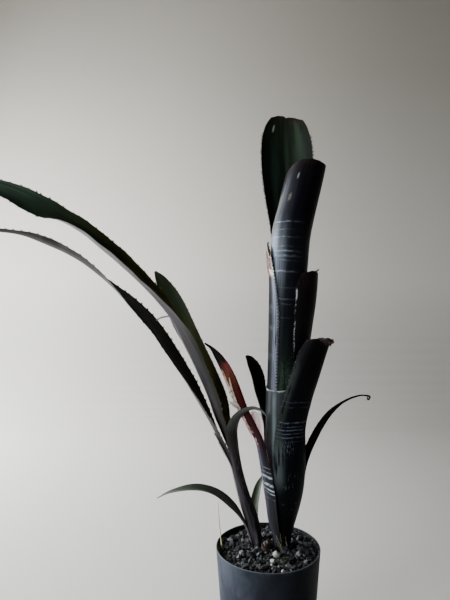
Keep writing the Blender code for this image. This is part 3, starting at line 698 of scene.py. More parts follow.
frontRightLeaf = dict(
    name="frontRightLeaf", node="tall_leaf_front_right", slot="leaf_dark", side=-55, layer=4.25, columns=28,
    sheath=[(88, 72), (120, 69), (160, 69), (190, 77), (223, 68)],
    blade=[
        (37.1, -4.7, 254, 23.7, 68, 0), (46, -9.5, 284, 24, 76, 0), (52.5, -10, 304, 23, 80, 0),
        (56.5, -10.5, 315, 18, 72, 0), (59, -10.5, 321, 11, 55, 0),
    ],
    end=[(-1, 4), (-0.6, 0), (0, 0), (0.5, 3), (1, 9)], wave=0.3, jag=0.5, toothSize=1.6,
    inner=dict(colours=[(0, 20, 20, 12), (0.85, 6, 6, 6), (1, 60, 35, 22)], scurf=0.05),
    outer=dict(
        colours=[
            (0, *paleFoot), (0.05, 10, 10, 9), (0.2, 2.5, 3, 4), (0.5, 3, 4, 7), (0.8, 2.5, 2.5, 4),
            (1, 6, 4, 4),
        ],
        dark=0.35, scurf=0.006, silver=(120, 150, 210), rough=0.5, shine=0.07, shineTint=(850, 920, 1000),
        margin=(0.98, (30, 30, 30)), bandColour=(270, 310, 420), lean=1.2, wave=5, bandFade=(-1.1, 0.2),
        bands=[
            (256, 0.9, 0.16), (251, 0.8, 0.12), (235.2, 1, 0.62), (231, 0.8, 0.42), (227.6, 0.9, 0.55),
            (224, 0.8, 0.45), (220.3, 1, 0.42), (216, 0.7, 0.2),
        ],
        patches=[
            # painted sheen: a grey-green glow down the window side
            patch((0.36, 0.56), (0.62, 1.3), (75, 92, 90), 0.85, (0.16, 0.05), (0.45, 0.38, 0.05)),
            patch((0.52, 0.88), (0.75, 1.3), (40, 48, 40), 0.75, (0.16, 0.08), (0.4, 0.42, 0.1)),
            patch((0.49, 0.55), (0.25, 0.65), (130, 150, 180), 0.55, (0.15, 0.02), (0.9, 0.56, 0.25), seed=6),
            patch((0.24, 0.42), (0, 0.7), (120, 120, 120), 0.6, (0.2, 0.04), (0.5, 0.66, 0.3)),
            patch((0.1, 0.3), (-0.6, 0.5), (140, 120, 100), 0.7, (0.2, 0.04), (0.6, 0.68, 0.4)),
            patch((0, 0.11), (0.1, 1.1), (70, 65, 45), 0.7, (0.12, 0.03), (0.4, 0.5, 0.5)),
        ],
        tip=(0.988, (30, 20, 16)),
    ),
)

leftShortLeaf = dict(
    name="leftShortLeaf", node="tall_leaf_left_short", slot="leaf_dark", side=150, layer=4, columns=14,
    sheath=[(88, 40), (160, 34), (212, 32)],
    blade=[
        (-3.5, 28, 240, 10.5, 42, 0), (-7.4, 29.5, 262, 9.2, 38, -18), (-10, 31, 279, 8.4, 34, -30),
        (-14.2, 32, 289.5, 6.8, 30, -32), (-18, 33, 295.5, 4, 26, -32), (-21, 33.5, 298, 1.4, 20, -30),
    ],
    wave=0.25, toothSize=1.2, toothGap=5,
    inner=dict(
        colours=[(0, 20, 20, 12), (0.6, 3, 4, 3), (1, 6, 4, 4)], scurf=0.01, shine=0.12,
        tip=(0.975, (20, 12, 10)),
    ),
    outer=dict(
        colours=[(0, *paleFoot), (0.15, 20, 22, 20), (0.6, 4, 4, 5), (1, 8, 5, 5)], scurf=0.03, shine=0.2,
        tip=(0.975, (20, 12, 10)),
    ),
)

rightNarrowLeaf = dict(
    name="rightNarrowLeaf", node="tall_leaf_right_narrow", slot="leaf_dark", side=24, layer=5, columns=12,
    row=1.6, sheath=[(88, 34), (130, 30), (176, 20)],
    blade=[
        (44.5, 22, 195, 6.8, 46, 0), (51, 20.5, 210.5, 6.6, 54, 0), (59, 19, 226.5, 5.8, 56, 0),
        (69, 17, 241.5, 3.8, 48, 0), (79.5, 15, 251.5, 1.7, 36, 0), (90.5, 13, 257.5, 1.2, 30, 0),
        (100.5, 12, 259.5, 0.9, 20, 0), (106.5, 12, 257.5, 1.4, 20, 0), (105, 12, 254.5, 0.8, 20, 0),
    ],
    wave=0.15, toothSize=1, toothStop=30,
    inner=dict(colours=[(0, 10, 10, 8), (0.6, 4, 5, 4), (1, 6, 5, 4)], scurf=0.005, rough=0.9, shine=0),
    outer=dict(
        colours=[(0, *paleFoot), (0.15, 8, 9, 9), (0.6, 4, 4, 4), (1, 6, 5, 4)], dark=0.4, scurf=0.01,
        rough=0.9, shine=0,
    ),
)

redLeaf = dict(
    name="redLeaf", node="tall_leaf_red", slot="leaf_red", side=-140, layer=6, columns=14, row=1.8,
    sheath=[(88, 34), (112, 33)],
    blade=[
        (5.6, 4.8, 125, 7, 32, 0), (3.4, 3.4, 140, 7.6, 30, 0), (1, 2, 158, 7.6, 30, 4),
        (-1.6, 0.5, 176.5, 6.8, 32, 10), (-5, -1, 197.5, 5.4, 34, 20), (-10, 0, 218, 4.6, 34, 30),
        (-15.5, 1, 229, 4.6, 32, 35), (-26, 3, 248, 5.6, 30, 40), (-32.5, 4, 263, 6.4, 30, 40),
        (-38.5, 5, 278.5, 6.2, 30, 40), (-45.2, 6, 292, 5.4, 30, 35), (-51.8, 6.5, 302, 4, 30, 30),
        (-58, 7, 309.5, 1.8, 24, 20), (-64.5, 8, 314, 1.1, 22, 10),
    ],
    wave=0.35, toothSize=1, toothGap=5.5,
    inner=dict(
        colours=[
            (0, 20, 20, 12), (0.5, 50, 20, 30), (0.7, 120, 20, 14), (0.86, 100, 30, 15), (1, 20, 12, 10),
        ],
        mottle=(0.6, (300, 90, 50)), scurf=0.05, rough=0.5,
    ),
    outer=dict(
        colours=[
            (0, 100, 85, 60), (0.05, 40, 36, 40), (0.25, 22, 20, 28), (0.4, 12, 14, 20), (0.5, 22, 10, 20),
            (0.58, 45, 4, 8), (0.68, 70, 5, 8), (0.76, 100, 9, 7), (0.83, 170, 45, 20),
            (0.875, 100, 20, 14), (0.9, 9, 4, 5), (1, 5, 3, 3),
        ],
        dark=0.35, scurf=0.03, silver=(220, 220, 260), rough=0.45, shine=0.2, wave=5, lean=1,
        bands=[
            (184.5, 1, 0.4), (179.6, 1.9, 0.85), (171.5, 2, 1), (166.2, 1.3, 1), (162.6, 0.9, 0.85),
            (157, 0.6, 0.25), (189, 0.8, 0.3),
        ],
        bandColour=(620, 680, 760),
        patches=[
            patch((0.1, 0.5), (0.2, 1.2), (90, 90, 120), 0.7, (0.3, 0.05), (0.35, 0.38, 0.05)),
            patch((0.5, 0.6), (0.35, 1.2), (500, 240, 260), 0.9, (0.2, 0.015), (0.6, 0.5, 0.3)),
            patch((0.59, 0.7), (0.62, 1.2), (600, 420, 360), 0.9, (0.1, 0.02), (0.45, 0.42, 0.5)),
            patch((0.7, 0.79), (0.5, 1.2), (850, 700, 550), 0.95, (0.12, 0.012), (0.5, 0.4, 0.5)),
            patch((0.79, 0.86), (0.6, 1.2), (800, 550, 400), 0.9, (0.1, 0.012), (0.5, 0.42, 0.5)),
            patch((0.84, 0.88), (-0.9, -0.1), (300, 50, 50), 0.7, (0.2, 0.01)),
        ],
    ),
)

witheredLeaf = dict(
    name="witheredLeaf", node="tall_leaf_withered", slot="leaf_withered", side=-160, layer=5, columns=12,
    row=1.8, sheath=[(88, 24), (130, 24), (192, 18)],
    blade=[(-5, 8.5, 212, 6.4, 34, -26), (-9.5, 8.5, 230, 7.2, 34, -60), (-14.5, 8.5, 245, 6.4, 28, -70)],
    end=[(-1, 4), (-0.3, 0), (0.3, 3), (1, 7)], wave=0.4, jag=1, toothed=False,
    inner=dict(
        colours=[(0, 100, 90, 60), (0.6, 600, 420, 420), (0.8, 950, 800, 840), (1, 950, 820, 820)],
        mottle=(0.6, (500, 100, 180)), dark=0.85, scurf=0.05, rough=0.6, thin=0.8,
        margin=(0.9, (300, 320, 270)),
    ),
    outer=dict(
        colours=[
            (0, 100, 90, 70), (0.5, 120, 110, 100), (0.62, 500, 340, 370), (0.8, 920, 780, 820),
            (1, 920, 820, 820),
        ],
        mottle=(0.6, (500, 120, 200)), dark=0.85, scurf=0.1, rough=0.6, thin=0.8,
    ),
)

tallLeaves = (
    backLeaf, frontLeaf, leftLeaf, rightLeaf, collarLeaf, frontRightLeaf, leftShortLeaf, rightNarrowLeaf,
    redLeaf, witheredLeaf,
)
for count, leaf in enumerate(tallLeaves):
    growLeaf(leaf, tallTube, 2 * count + 1)
print("tall shoot grown")


# the offshoot

broadLeaf = dict(
    name="broadLeaf", node="young_leaf_broad", slot="leaf_green", side=105, layer=0, columns=18,
    sheath=[(113, 70), (150, 64), (215, 60)],
    blade=[
        (-48.6, 24, 252, 8.4, 50, 0), (-60, 29, 279, 8.8, 44, 0), (-74.8, 32, 306, 10.2, 40, 0),
        (-88.8, 34, 332, 11.8, 38, 0), (-98.5, 35, 353, 11.2, 34, 0), (-109, 36, 373, 8.2, 28, 0),
        (-115, 36, 383, 5, 22, 0), (-119.5, 36, 389.5, 1.2, 18, 0),
    ],
    wave=0.4, toothSize=1.5,
    # painted light: the inner face's own olive is made paler, below three quarters of the length, to stand in
    # for light shining through the thin leaf
    inner=dict(
        colours=[
            (0, 30, 35, 15), (0.4, 90, 86, 14), (0.6, 85, 85, 12), (0.75, 50, 62, 14), (0.85, 26, 42, 15),
            (1, 30, 46, 22),
        ],
        dark=0.6, mottle=(0.5, (50, 55, 5)), scurf=0.03, rough=0.45, shine=0.35,
        margin=(0.97, (20, 20, 10)), tip=(0.985, (80, 80, 50)),
    ),
    outer=dict(
        colours=[(0, 80, 70, 55), (0.4, 45, 40, 42), (1, 40, 45, 36)], scurf=0.3, silver=(200, 200, 210),
    ),
)

upperLeaf = dict(
    name="upperLeaf", node="young_leaf_upper", slot="leaf_green", side=205, layer=1, columns=22,
    sheath=[(104, 74), (150, 70), (200, 68)],
    blade=[
        (-47.5, 12, 223.5, 9, 64, 0), (-54, 10, 240, 11, 58, 0), (-58.8, 8, 255.5, 12.6, 56, 0),
        (-67.2, 7, 276, 14, 54, 0), (-76.8, 6, 297, 15.4, 54, 0), (-87.2, 4, 317.5, 17.2, 54, -4),
        (-98, 2, 338, 17.4, 54, -18), (-111, 0, 356, 16.6, 54, -30), (-126, -2, 373, 16, 56, -36),
        (-145.5, -5, 392, 16.2, 60, -40), (-165, -8, 409.2, 16.8, 60, -41),
        (-186.5, -11, 427, 16.4, 52, -42), (-205, -14, 438.5, 15.4, 40, -50),
        (-219, -16, 445.5, 15.4, 30, -66), (-233, -18, 452.5, 14.6, 28, -70),
        (-251, -19, 461.5, 13.4, 28, -66), (-270, -21, 468, 12, 26, -62), (-295, -23, 472.5, 10.4, 26, -54),
        (-322, -25, 475, 7.8, 26, -42), (-350, -26, 471, 4.6, 24, -30), (-372, -27, 464, 1.4, 24, -24),
    ],
    wave=0.5, toothSize=2.3, toothGap=8, toothSpread=1.2,
    # painted light: the inner face's own blue-green far end is made paler, standing in for light it does not
    # get
    inner=dict(
        colours=[
            (0, 20, 20, 10), (0.3, 65, 62, 10), (0.42, 80, 68, 12), (0.49, 110, 92, 12),
            (0.545, 140, 145, 10), (0.58, 80, 90, 14), (0.65, 60, 72, 26), (0.75, 55, 100, 60),
            (0.83, 100, 160, 110), (1, 110, 180, 120),
        ],
        dark=0.6, mottle=(0.45, (30, 60, 35)), scurf=0.1, silver=(200, 280, 260), rough=0.45, shine=0.35,
        margin=(0.975, (20, 25, 12)), tip=(0.985, (60, 40, 20)),
        patches=[
            patch((0.79, 0.86), (-0.9, -0.3), (300, 340, 320), 0.6, (0.2, 0.02), (0.5, 0.62, 0.6)),
        ],
    ),
    outer=dict(
        colours=[
            (0, 80, 70, 55), (0.08, 35, 26, 32), (0.2, 27, 22, 28), (0.31, 42, 36, 43), (0.4, 95, 84, 92),
            (0.5, 160, 150, 158), (0.7, 150, 145, 145), (1, 120, 125, 110),
        ],
        dark=0.6, mottle=(0.4, (60, 60, 50)), scurf=0.3, silver=(270, 260, 280), rough=0.5, shine=0.4,
        patches=[
            patch((0.05, 0.4), (-1.4, -0.66), (22, 25, 12), 0.85, (0.24, 0.05)),
        ],
    ),
)

lowerLeaf = dict(
    name="lowerLeaf", node="young_leaf_lower", slot="leaf_purple", side=196, layer=2, columns=16,
    sheath=[(88, 58), (150, 56), (184, 50)],
    blade=[
        (-43.4, 15, 200, 6.2, 52, 0), (-51, 12.5, 215, 7.8, 54, -4), (-58, 10, 230, 9.2, 56, -14),
        (-67.6, 9, 248, 10, 56, -26), (-77.8, 8, 267, 10.2, 54, -36), (-87.2, 7, 283.5, 10.4, 52, -42),
        (-97.4, 6, 299.5, 10.6, 50, -46), (-107.2, 5, 314.5, 10.6, 50, -48),
        (-117.4, 4, 330, 10.4, 48, -48), (-127.8, 2, 342, 10.4, 46, -46), (-138.8, 1, 353.2, 10, 44, -38),
        (-154.5, -1, 369, 9.4, 40, -18), (-169.5, -3, 382.5, 8.8, 40, -2), (-188.5, -5, 397.5, 8.8, 38, 6),
        (-208, -7, 409, 9.2, 36, 12), (-228, -8, 417.5, 8.6, 34, 12), (-247, -10, 423.5, 6.2, 40, 2),
        (-266, -11, 426, 5.8, 42, -4), (-290, -12, 426, 5, 36, -4), (-314, -13, 421, 2.8, 28, 0),
        (-331, -14, 414.5, 0.7, 15, 0),
    ],
    wave=0.35, toothSize=2.6, toothGap=7.5, toothSpread=1.2,
    inner=dict(
        colours=[
            (0, 20, 20, 10), (0.3, 12, 12, 7), (0.55, 20, 22, 10), (0.66, 25, 34, 18), (0.8, 20, 24, 15),
            (1, 30, 40, 22),
        ],
        dark=0.5, scurf=0.05, rough=0.45, shine=0.3, margin=(0.96, (20, 20, 14)), tip=(0.985, (60, 40, 20)),
    ),
    outer=dict(
        colours=[
            (0, 80, 70, 55), (0.1, 35, 25, 30), (0.3, 60, 55, 54), (0.5, 85, 80, 78), (0.64, 80, 75, 75),
            (0.74, 52, 50, 50), (0.86, 42, 40, 38), (1, 20, 20, 18),
        ],
        dark=0.55, mottle=(0.4, (30, 26, 24)), scurf=0.12, silver=(160, 155, 160), rough=0.6, shine=0.12,
        patches=[
            patch((0.755, 0.79), (-1.1, -0.1), (20, 20, 16), 0.9, (0.25, 0.006)),
        ],
    ),
)

stubLeaf = dict(
    name="stubLeaf", node="young_leaf_stub", slot="leaf_purple", side=175, layer=3, columns=12,
    sheath=[(88, 45), (140, 45), (182, 42)],
    blade=[(-45.2, 16.6, 200, 6.2, 40, 0), (-51.8, 14.6, 213, 6.4, 38, 0), (-55.5, 13.5, 221, 4.8, 30, 0)],
    end=[(-1, 3), (-0.2, 0), (0.3, 2), (1, 5)], jag=0.7, toothSize=0.7,
    inner=dict(colours=[(0, 20, 20, 10), (1, 30, 30, 25)], scurf=0.05, tip=(0.95, (400, 380, 330))),
    outer=dict(
        colours=[(0, 90, 75, 70), (0.4, 50, 42, 50), (1, 70, 62, 66)], scurf=0.45, silver=(300, 290, 310),
        tip=(0.945, (420, 400, 360)),
    ),
)

recurvedLeaf = dict(
    name="recurvedLeaf", node="young_leaf_recurved", slot="leaf_purple", side=-74, layer=4, columns=16,
    row=1.6, sheath=[(88, 56), (140, 54), (178, 50), (190, 44)],
    blade=[
        (-34.8, 7, 212, 6.7, 52, 0), (-35.6, 4.5, 224, 6.9, 50, 0), (-33.6, 1.5, 234, 6, 44, 0),
        (-28.5, -2, 242.5, 4.6, 38, 0), (-22, -5, 247.8, 3.5, 34, 0), (-15, -7, 250, 2.9, 30, 0),
        (-9, -8.5, 248.8, 2.2, 28, 0), (-4, -9.5, 245, 1.3, 24, 0), (-1, -10, 241.5, 0.6, 15, 0),
    ],
    wave=0.2, toothSize=0.7, toothGap=5.5,
    inner=dict(colours=[(0, 20, 20, 10), (0.7, 50, 60, 50), (1, 120, 140, 110)], scurf=0.1),
    outer=dict(
        colours=[
            (0, 50, 40, 35), (0.12, 16, 11, 15), (0.4, 12, 9, 12), (0.715, 12, 11, 11), (0.745, 36, 40, 34),
            (0.84, 65, 75, 64), (0.93, 120, 140, 120), (1, 140, 160, 140),
        ],
        dark=0.4, mottle=(0.3, (22, 20, 24)), scurf=0.05, silver=(200, 190, 230), rough=0.48, shine=0.25,
        tip=(0.975, (60, 40, 30)),
        patches=[
            # scurf flecks, laid down the window side as a painted highlight
            patch((0.15, 0.6), (0.4, 1.2), (70, 60, 66), 0.85, (0.25, 0.06), (0.4, 0.4, 0.08)),
            patch((0.02, 0.45), (0, 0.55), (85, 72, 88), 0.8, (0.2, 0.05), (0.5, 0.46, 0.06)),
            patch((0, 0.16), (0, 0.5), (200, 180, 190), 0.8, (0.15, 0.02), (0.5, 0.4, 0.1)),
            patch((0.1, 0.6), (-0.9, 0.3), (50, 45, 52), 0.7, (0.2, 0.05), (0.45, 0.56, 0.35)),
        ],
    ),
)

greenLeaf = dict(
    name="greenLeaf", node="young_leaf_green", slot="leaf_green", side=64, layer=4, columns=12, row=1.6,
    sheath=[(88, 34), (100, 34), (112, 32)],
    blade=[
        (-11.4, 25.5, 122, 4.6, 30, 0), (-12, 27.5, 136, 4.8, 26, 0), (-10, 29, 150, 4.4, 24, 0),
        (-6.5, 30, 162, 3, 20, 0), (-2, 31, 171, 0.7, 12, 0),
    ],
    wave=0.15, toothSize=0.6, toothGap=5,
    inner=dict(colours=[(0, 50, 50, 25), (0.4, 60, 75, 35), (1, 50, 70, 40)], scurf=0.1),
    outer=dict(colours=[(0, 80, 70, 40), (0.4, 90, 110, 70), (1, 80, 100, 70)], scurf=0.35),
)

lowLeaf = dict(
    name="lowLeaf", node="young_leaf_low", slot="leaf_green", side=184, layer=5, columns=14, row=1.8,
    sheath=[(88, 34), (100, 34), (114, 36)],
    blade=[
        (-24.5, 15.5, 126, 6.4, 44, 0), (-30, 12.8, 135.8, 6.6, 42, -10), (-37, 10.2, 145.8, 6.4, 40, -22),
        (-46, 7.6, 155.2, 5.8, 38, -26), (-56, 5.6, 162, 5.4, 36, -22), (-67, 4, 165.8, 5.2, 34, -16),
        (-78, 2.5, 167, 4.8, 30, -14), (-89, 1, 166, 4, 28, -8), (-100, 0, 163.5, 2.6, 24, 0),
        (-112, -1, 158, 0.7, 12, 0),
    ],
    wave=0.25, toothSize=0.7, toothGap=6,
    inner=dict(
        colours=[(0, 40, 30, 25), (0.3, 20, 24, 16), (0.6, 40, 55, 35), (1, 90, 100, 60)], scurf=0.12,
        margin=(0.96, (100, 120, 80)), tip=(0.975, (180, 130, 60)),
    ),
    outer=dict(
        colours=[(0, 70, 50, 50), (0.25, 40, 30, 34), (0.5, 60, 70, 55), (1, 120, 140, 100)], scurf=0.35,
        silver=(300, 320, 300), tip=(0.97, (180, 130, 60)),
    ),
)

youngLeaves = (broadLeaf, upperLeaf, lowerLeaf, stubLeaf, recurvedLeaf, greenLeaf, lowLeaf)
for count, leaf in enumerate(youngLeaves, len(tallLeaves)):
    growLeaf(leaf, youngTube, 2 * count + 1)
print("offshoot grown")


# pot

pot = dict(
    rim=52.5, height=110.0, taper=0.075, wall=1.2, floor=2.0, sides=160,
    holes=6, holeRadius=4.0, holeCircle=29.0,
)


def potRadius(height):
    return pot["rim"] - pot["taper"] * (pot["height"] - height)


def makePot():
    rim, wall, top, floor = pot["rim"], pot["wall"], pot["height"], pot["floor"]
    foot, inner = potRadius(0), potRadius(floor) - wall
    # radius and height: up the outside, over the lip, down the inside
    profile = [
        (foot - 0.5, 0.35), (foot + 0.1, 1.4), *((potRadius(z), z) for z in (12, 30, 50, 70, 88, 98, 106)),
        (rim, top - 0.5), (rim - 0.12, top - 0.15), (rim - 0.4, top),
        (rim - wall + 0.4, top), (rim - wall + 0.1, top - 0.15), (rim - wall, top - 0.5),
        *((potRadius(z) - wall, z) for z in (104, 90, 60, 30, 8)), (inner, floor + 1.5), (inner - 1.5, floor),
    ]
    radius, level = foot - 1.4, 0.0
    deselectAll()
    bpy.ops.mesh.primitive_circle_add(
        vertices=pot["sides"], radius=radius * mm, fill_type="NGON", location=(0, 0, 0))
    shell = bpy.context.object
    shell.name = "nurseryPot"
    openMesh(shell)
    for wide, high in profile:
        bpy.ops.mesh.extrude_region_move(TRANSFORM_OT_translate={"value": (0, 0, (high - level) * mm)})
        grow = wide / radius
        bpy.ops.transform.resize(value=(grow, grow, 1), center_override=(0, 0, high * mm))
        radius, level = wide, high
    closeMesh()
    drills = []
    for i in range(pot["holes"]):
        angle = 2 * pi * (i + 0.5) / pot["holes"]
        spot = (pot["holeCircle"] * cos(angle) * mm, pot["holeCircle"] * sin(angle) * mm, mm)
        bpy.ops.mesh.primitive_cylinder_add(
            vertices=32, radius=pot["holeRadius"] * mm, depth=8 * mm, location=spot)
        drills.append(bpy.context.object)
        cut = shell.modifiers.new("hole", "BOOLEAN")
        cut.operation = "DIFFERENCE"
        cut.object = drills[-1]
        cut.solver = "EXACT"
    applyAll(shell)
    for drill in drills:
        bpy.data.objects.remove(drill)
    smoothBelow(shell, 40)
    return shell


def potSkin():
    skin, tree, shader = newSkin("potPlastic")
    spot = here(tree)
    across, deep, height = apart(tree, spot)
    runs = grain(tree, spot, (900, 900, 9), 4, 0.6)
    clouds = grain(tree, spot, (62, 62, 34), 4)
    specks = grain(tree, spot, 2600)
    colour = ramp(tree, runs, [(0.3, 4, 5, 9), (0.7, 9, 12, 19)])

    # chalky dust and painted light: the blotches thicken on the window side to stand in for its light; more
    # dust under the lip, then the worn lip
    dustAndLight = between(tree, across, -0.052, 0.022, 1, 0.05)
    colour = blend(tree, times(tree, dustAndLight, between(tree, clouds, 0.36, 0.6, 0.4, 1)), colour, (55, 64, 84))
    colour = blend(tree, between(tree, specks, 0.68, 0.76, 0, 0.35), colour, (160, 170, 180))
    dust = times(tree, between(tree, height, 0.1055, 0.1095), between(tree, clouds, 0.35, 0.7, 0.2, 1))
    colour = blend(tree, times(tree, dust, 0.3), colour, (70, 80, 95))
    colour = blend(tree, between(tree, height, 0.1094, 0.1098, 0, 0.8), colour, (130, 140, 155))

    # crumbs of the mix cling to the inside
    reach = number(tree, "SQRT", times(tree, across, across, times(tree, deep, deep)))
    rimAtFloor = (pot["rim"] - pot["taper"] * pot["height"] - 0.6) * mm
    inside = number(tree, "SUBTRACT", times(tree, height, pot["taper"], rimAtFloor), reach)
    edge = between(tree, times(tree, clouds, 0.004, height), 0.1105, 0.1128, 1, 0)
    crumbs = grain(tree, spot, 900, 4, 0.65)
    crumbs = ramp(tree, crumbs, [(0.35, 4), (0.6, 20, 18, 16), (0.75, 120, 110, 100)])
    colour = blend(tree, times(tree, between(tree, inside, 0, 0.0002), edge), colour, crumbs)

    paint(tree, shader, colour, between(tree, runs, 0.3, 0.7, 0.5, 0.64), 0.1)
    bumps(tree, shader, times(tree, specks, 0.4, runs), 0.25, 0.3 * mm)
    return skin


nurseryPot = makePot()
dress(nurseryPot, potSkin())
onPlant(nurseryPot, "pot_plastic", "pot")
print("pot turned")


# potting mix: its level, how many chips, and how far out they lie. A white stone is x, y, size. A stem in
# the mix is its place and the radius that chips keep clear of.

mix = dict(level=104.0, bark=430, grit=260, crust=330, seed=11, reach=48.6, wall=50.4)
whiteStones = np.array([(7.4, -14.2, 4.2), (3.0, -25.6, 3.2), (10.5, -42.5, 2.0), (1.5, -31.5, 1.8)])
stems = [((15.8, 12.0), 8.4), ((-9.8, 16.2), 7.4), ((-1.0, 1.5), 5.8)]
draw = np.random.default_rng(mix["seed"])


def rawChip(rounds, squeeze, least, most):
    # one chip, knocked out of a ball: squeezed, made uneven and cut flat three times
    deselectAll()
    bpy.ops.mesh.primitive_ico_sphere_add(subdivisions=rounds, radius=1.0)
    chip = bpy.context.object
    spots = corners(chip)
    setCorners(chip, spots * draw.uniform(least, most, (len(spots), 1)) * np.array(squeeze), 1)
    openMesh(chip)
    for _ in range(3):
        bpy.ops.mesh.select_all(action="SELECT")
        way = unit(draw.normal(size=3))
        cut = tuple(way * draw.uniform(0.5, 0.75))
        bpy.ops.mesh.bisect(plane_co=cut, plane_no=tuple(way), use_fill=True, clear_outer=True)
    bpy.ops.mesh.select_all(action="SELECT")
    bpy.ops.mesh.quads_convert_to_tris()
    closeMesh()
    return takeShape(chip)


def scatter(name, shapes, places, sizes, tones, lean, skin):
    spots, faces, shades, base = [], [], [], 0
    for place, size, tone in zip(places, sizes, tones):
        points, polygons = shapes[draw.integers(len(shapes))]
        turn = Matrix.Rotation(draw.uniform(0, 2 * pi), 3, "Z")
        for axis in "XY":
            turn = turn @ Matrix.Rotation(draw.normal(0, lean), 3, axis)
        spots.append(points @ np.array(turn).T * size + place)
        faces.extend(tuple(base + corner for corner in polygon) for polygon in polygons)
        shades.append(np.full(len(points), tone))
        base += len(points)
    piece = meshPiece(name, np.vstack(spots), faces)
    attach(piece, "chipTone", "FLOAT", np.concatenate(shades))
    dress(piece, skin)
    onPlant(piece, "potting_mix")


def groundPlaces(sizes):
    # places on the mix, clear of the pot's wall and of the stems
    found = []
    while len(found) < len(sizes):
        out = mix["reach"] * draw.uniform(0, 1) ** 0.5
        angle = draw.uniform(0, 2 * pi)
        spot = out * np.array([cos(angle), sin(angle)])
        half = sizes[len(found)]
        clear = all(np.hypot(*(spot - at)) >= wide + half * 0.55 for at, wide in stems)
        if clear and out <= mix["wall"] - half * 1.15:
            found.append(spot)
    return np.array(found)


def around(out, turn, height, centre=(0, 0)):
    return np.column_stack([centre[0] + out * np.cos(turn), centre[1] + out * np.sin(turn), height])


def mixSkin(name, stops, rough=0.8):
    skin, tree, shader = newSkin(name)
    fine = grain(tree, here(tree), 900, 5, 0.65)
    tone = attribute(tree, "chipTone", "Fac")
    tone = times(tree, number(tree, "SUBTRACT", fine, 0.5), 0.25, tone, clamp=True)
    colour = blend(tree, 1, ramp(tree, tone, stops), ramp(tree, fine, [(0.3, 500), (0.7, 1300)]), "MULTIPLY")
    paint(tree, shader, colour, rough)
    bumps(tree, shader, fine, 0.8, 0.6 * mm)
    return skin


barkShapes = [rawChip(1, (1.25, 0.8, 0.5), 0.72, 1.18) for _ in range(7)]
gritShapes = [rawChip(2, (1.1, 0.95, 0.8), 0.88, 1.06) for _ in range(5)]

barkSizes = np.clip(draw.lognormal(1.0, 0.38, mix["bark"]), 1.3, 5.0)
barkSpots = groundPlaces(barkSizes)
barkHeights = mix["level"] + 0.9 + draw.uniform(-1.4, 1.7, mix["bark"]) - 0.12 * barkSizes
barkTones = draw.uniform(0, 1, mix["bark"]) ** 1.35
barkPlaces = np.column_stack([barkSpots, barkHeights])
barkStops = [(0, 6), (0.3, 22, 21, 22), (0.6, 75, 74, 78), (0.85, 170, 170, 180), (1, 320, 310, 310)]
barkSkin = mixSkin("barkDark", barkStops)
scatter("barkChips", barkShapes, barkPlaces, barkSizes, barkTones, 0.7, barkSkin)

gritSizes = np.clip(draw.lognormal(0.0, 0.35, mix["grit"]), 0.5, 2.0)
gritSpots = groundPlaces(gritSizes)
gritHeights = mix["level"] + 2.0 + draw.uniform(-1.3, 0.9, mix["grit"])
# the crust: grit that clings inside the rim, on the right
crustTurn = draw.uniform(radians(-75), radians(100), mix["crust"])
crustHigh = mix["level"] + 0.6 + 3.6 * draw.uniform(0, 1, mix["crust"]) ** 1.4
crustOut = potRadius(crustHigh) - pot["wall"] - 0.5
gritPlaces = np.vstack([np.column_stack([gritSpots, gritHeights]), around(crustOut, crustTurn, crustHigh)])
gritSizes = np.concatenate([gritSizes, draw.uniform(0.35, 0.8, mix["crust"])])
gritTones = draw.uniform(0, 1, len(gritSizes)) ** 1.6
gritTones[mix["grit"]:] = 0.4 + 0.6 * gritTones[mix["grit"]:]
gritSkin = mixSkin("gritGrey", [(0, 12), (0.5, 40), (0.85, 120, 120, 118), (1, 220, 215, 200)])
scatter("gritStones", gritShapes, gritPlaces, gritSizes, gritTones, 0.8, gritSkin)

stoneSizes = whiteStones[:, 2]
stonePlaces = np.column_stack([whiteStones[:, :2], mix["level"] + 1.6 + 0.55 * stoneSizes])
stoneSkin = mixSkin("pumicePale", [(0, 400, 390, 360), (1, 660, 650, 610)], 0.85)
stoneTones = np.linspace(0.3, 1, len(stoneSizes))
scatter("paleStones", gritShapes, stonePlaces, stoneSizes, stoneTones, 0.4, stoneSkin)

soilStops = [(0.35, 4, 3.5, 3), (0.6, 16, 14, 12), (0.8, 50, 45, 40)]
dress(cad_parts["soil"], plainSkin("mixBody", 700, 6, 0.7, soilStops, 0.9, 1.0, 1.0))
print("potting mix scattered")


# moss

def mossSkin(name, low, high):
    skin, tree, shader = newSkin(name)
    fine = grain(tree, here(tree), 1200, 3)
    tone = times(tree, fine, 0.4, attribute(tree, "chipTone", "Fac"), clamp=True)
    paint(tree, shader, ramp(tree, tone, [(0.15, *low), (1, *high)]), 0.65)
    bumps(tree, shader, fine, 0.4, 0.3 * mm)
    return skin


moss = dict(
    centre=np.array([15.2, -22.5]), spread=np.array([2.3, 2.9]), top=3.4, blades=620, specks=16, each=26,
    reach=49,
)
rimMoss = dict(blades=620, first=radians(152), last=radians(196), out=50.2, depth=3.0, low=0.8, climb=2.8)
mossBlade = [spike(3, 0.22, 0.02, 0.45)]
tuft = draw.normal(size=(moss["blades"], 2)) * moss["spread"] + moss["centre"]
tuftHeight = mix["level"] + moss["top"] - 0.12 * ((tuft - moss["centre"]) ** 2).sum(axis=1) ** 0.9
tuft = np.column_stack([tuft, np.maximum(tuftHeight, mix["level"] + 1.0)])
specks = np.repeat(groundPlaces(np.full(moss["specks"], 1.0)), moss["each"], axis=0)
specks = specks + draw.normal(size=specks.shape) * 0.8
mossSpots = np.vstack([tuft, np.column_stack([specks, np.full(len(specks), mix["level"] + 2.0)])])
mossSpots = mossSpots[np.hypot(mossSpots[:, 0], mossSpots[:, 1]) < moss["reach"]]
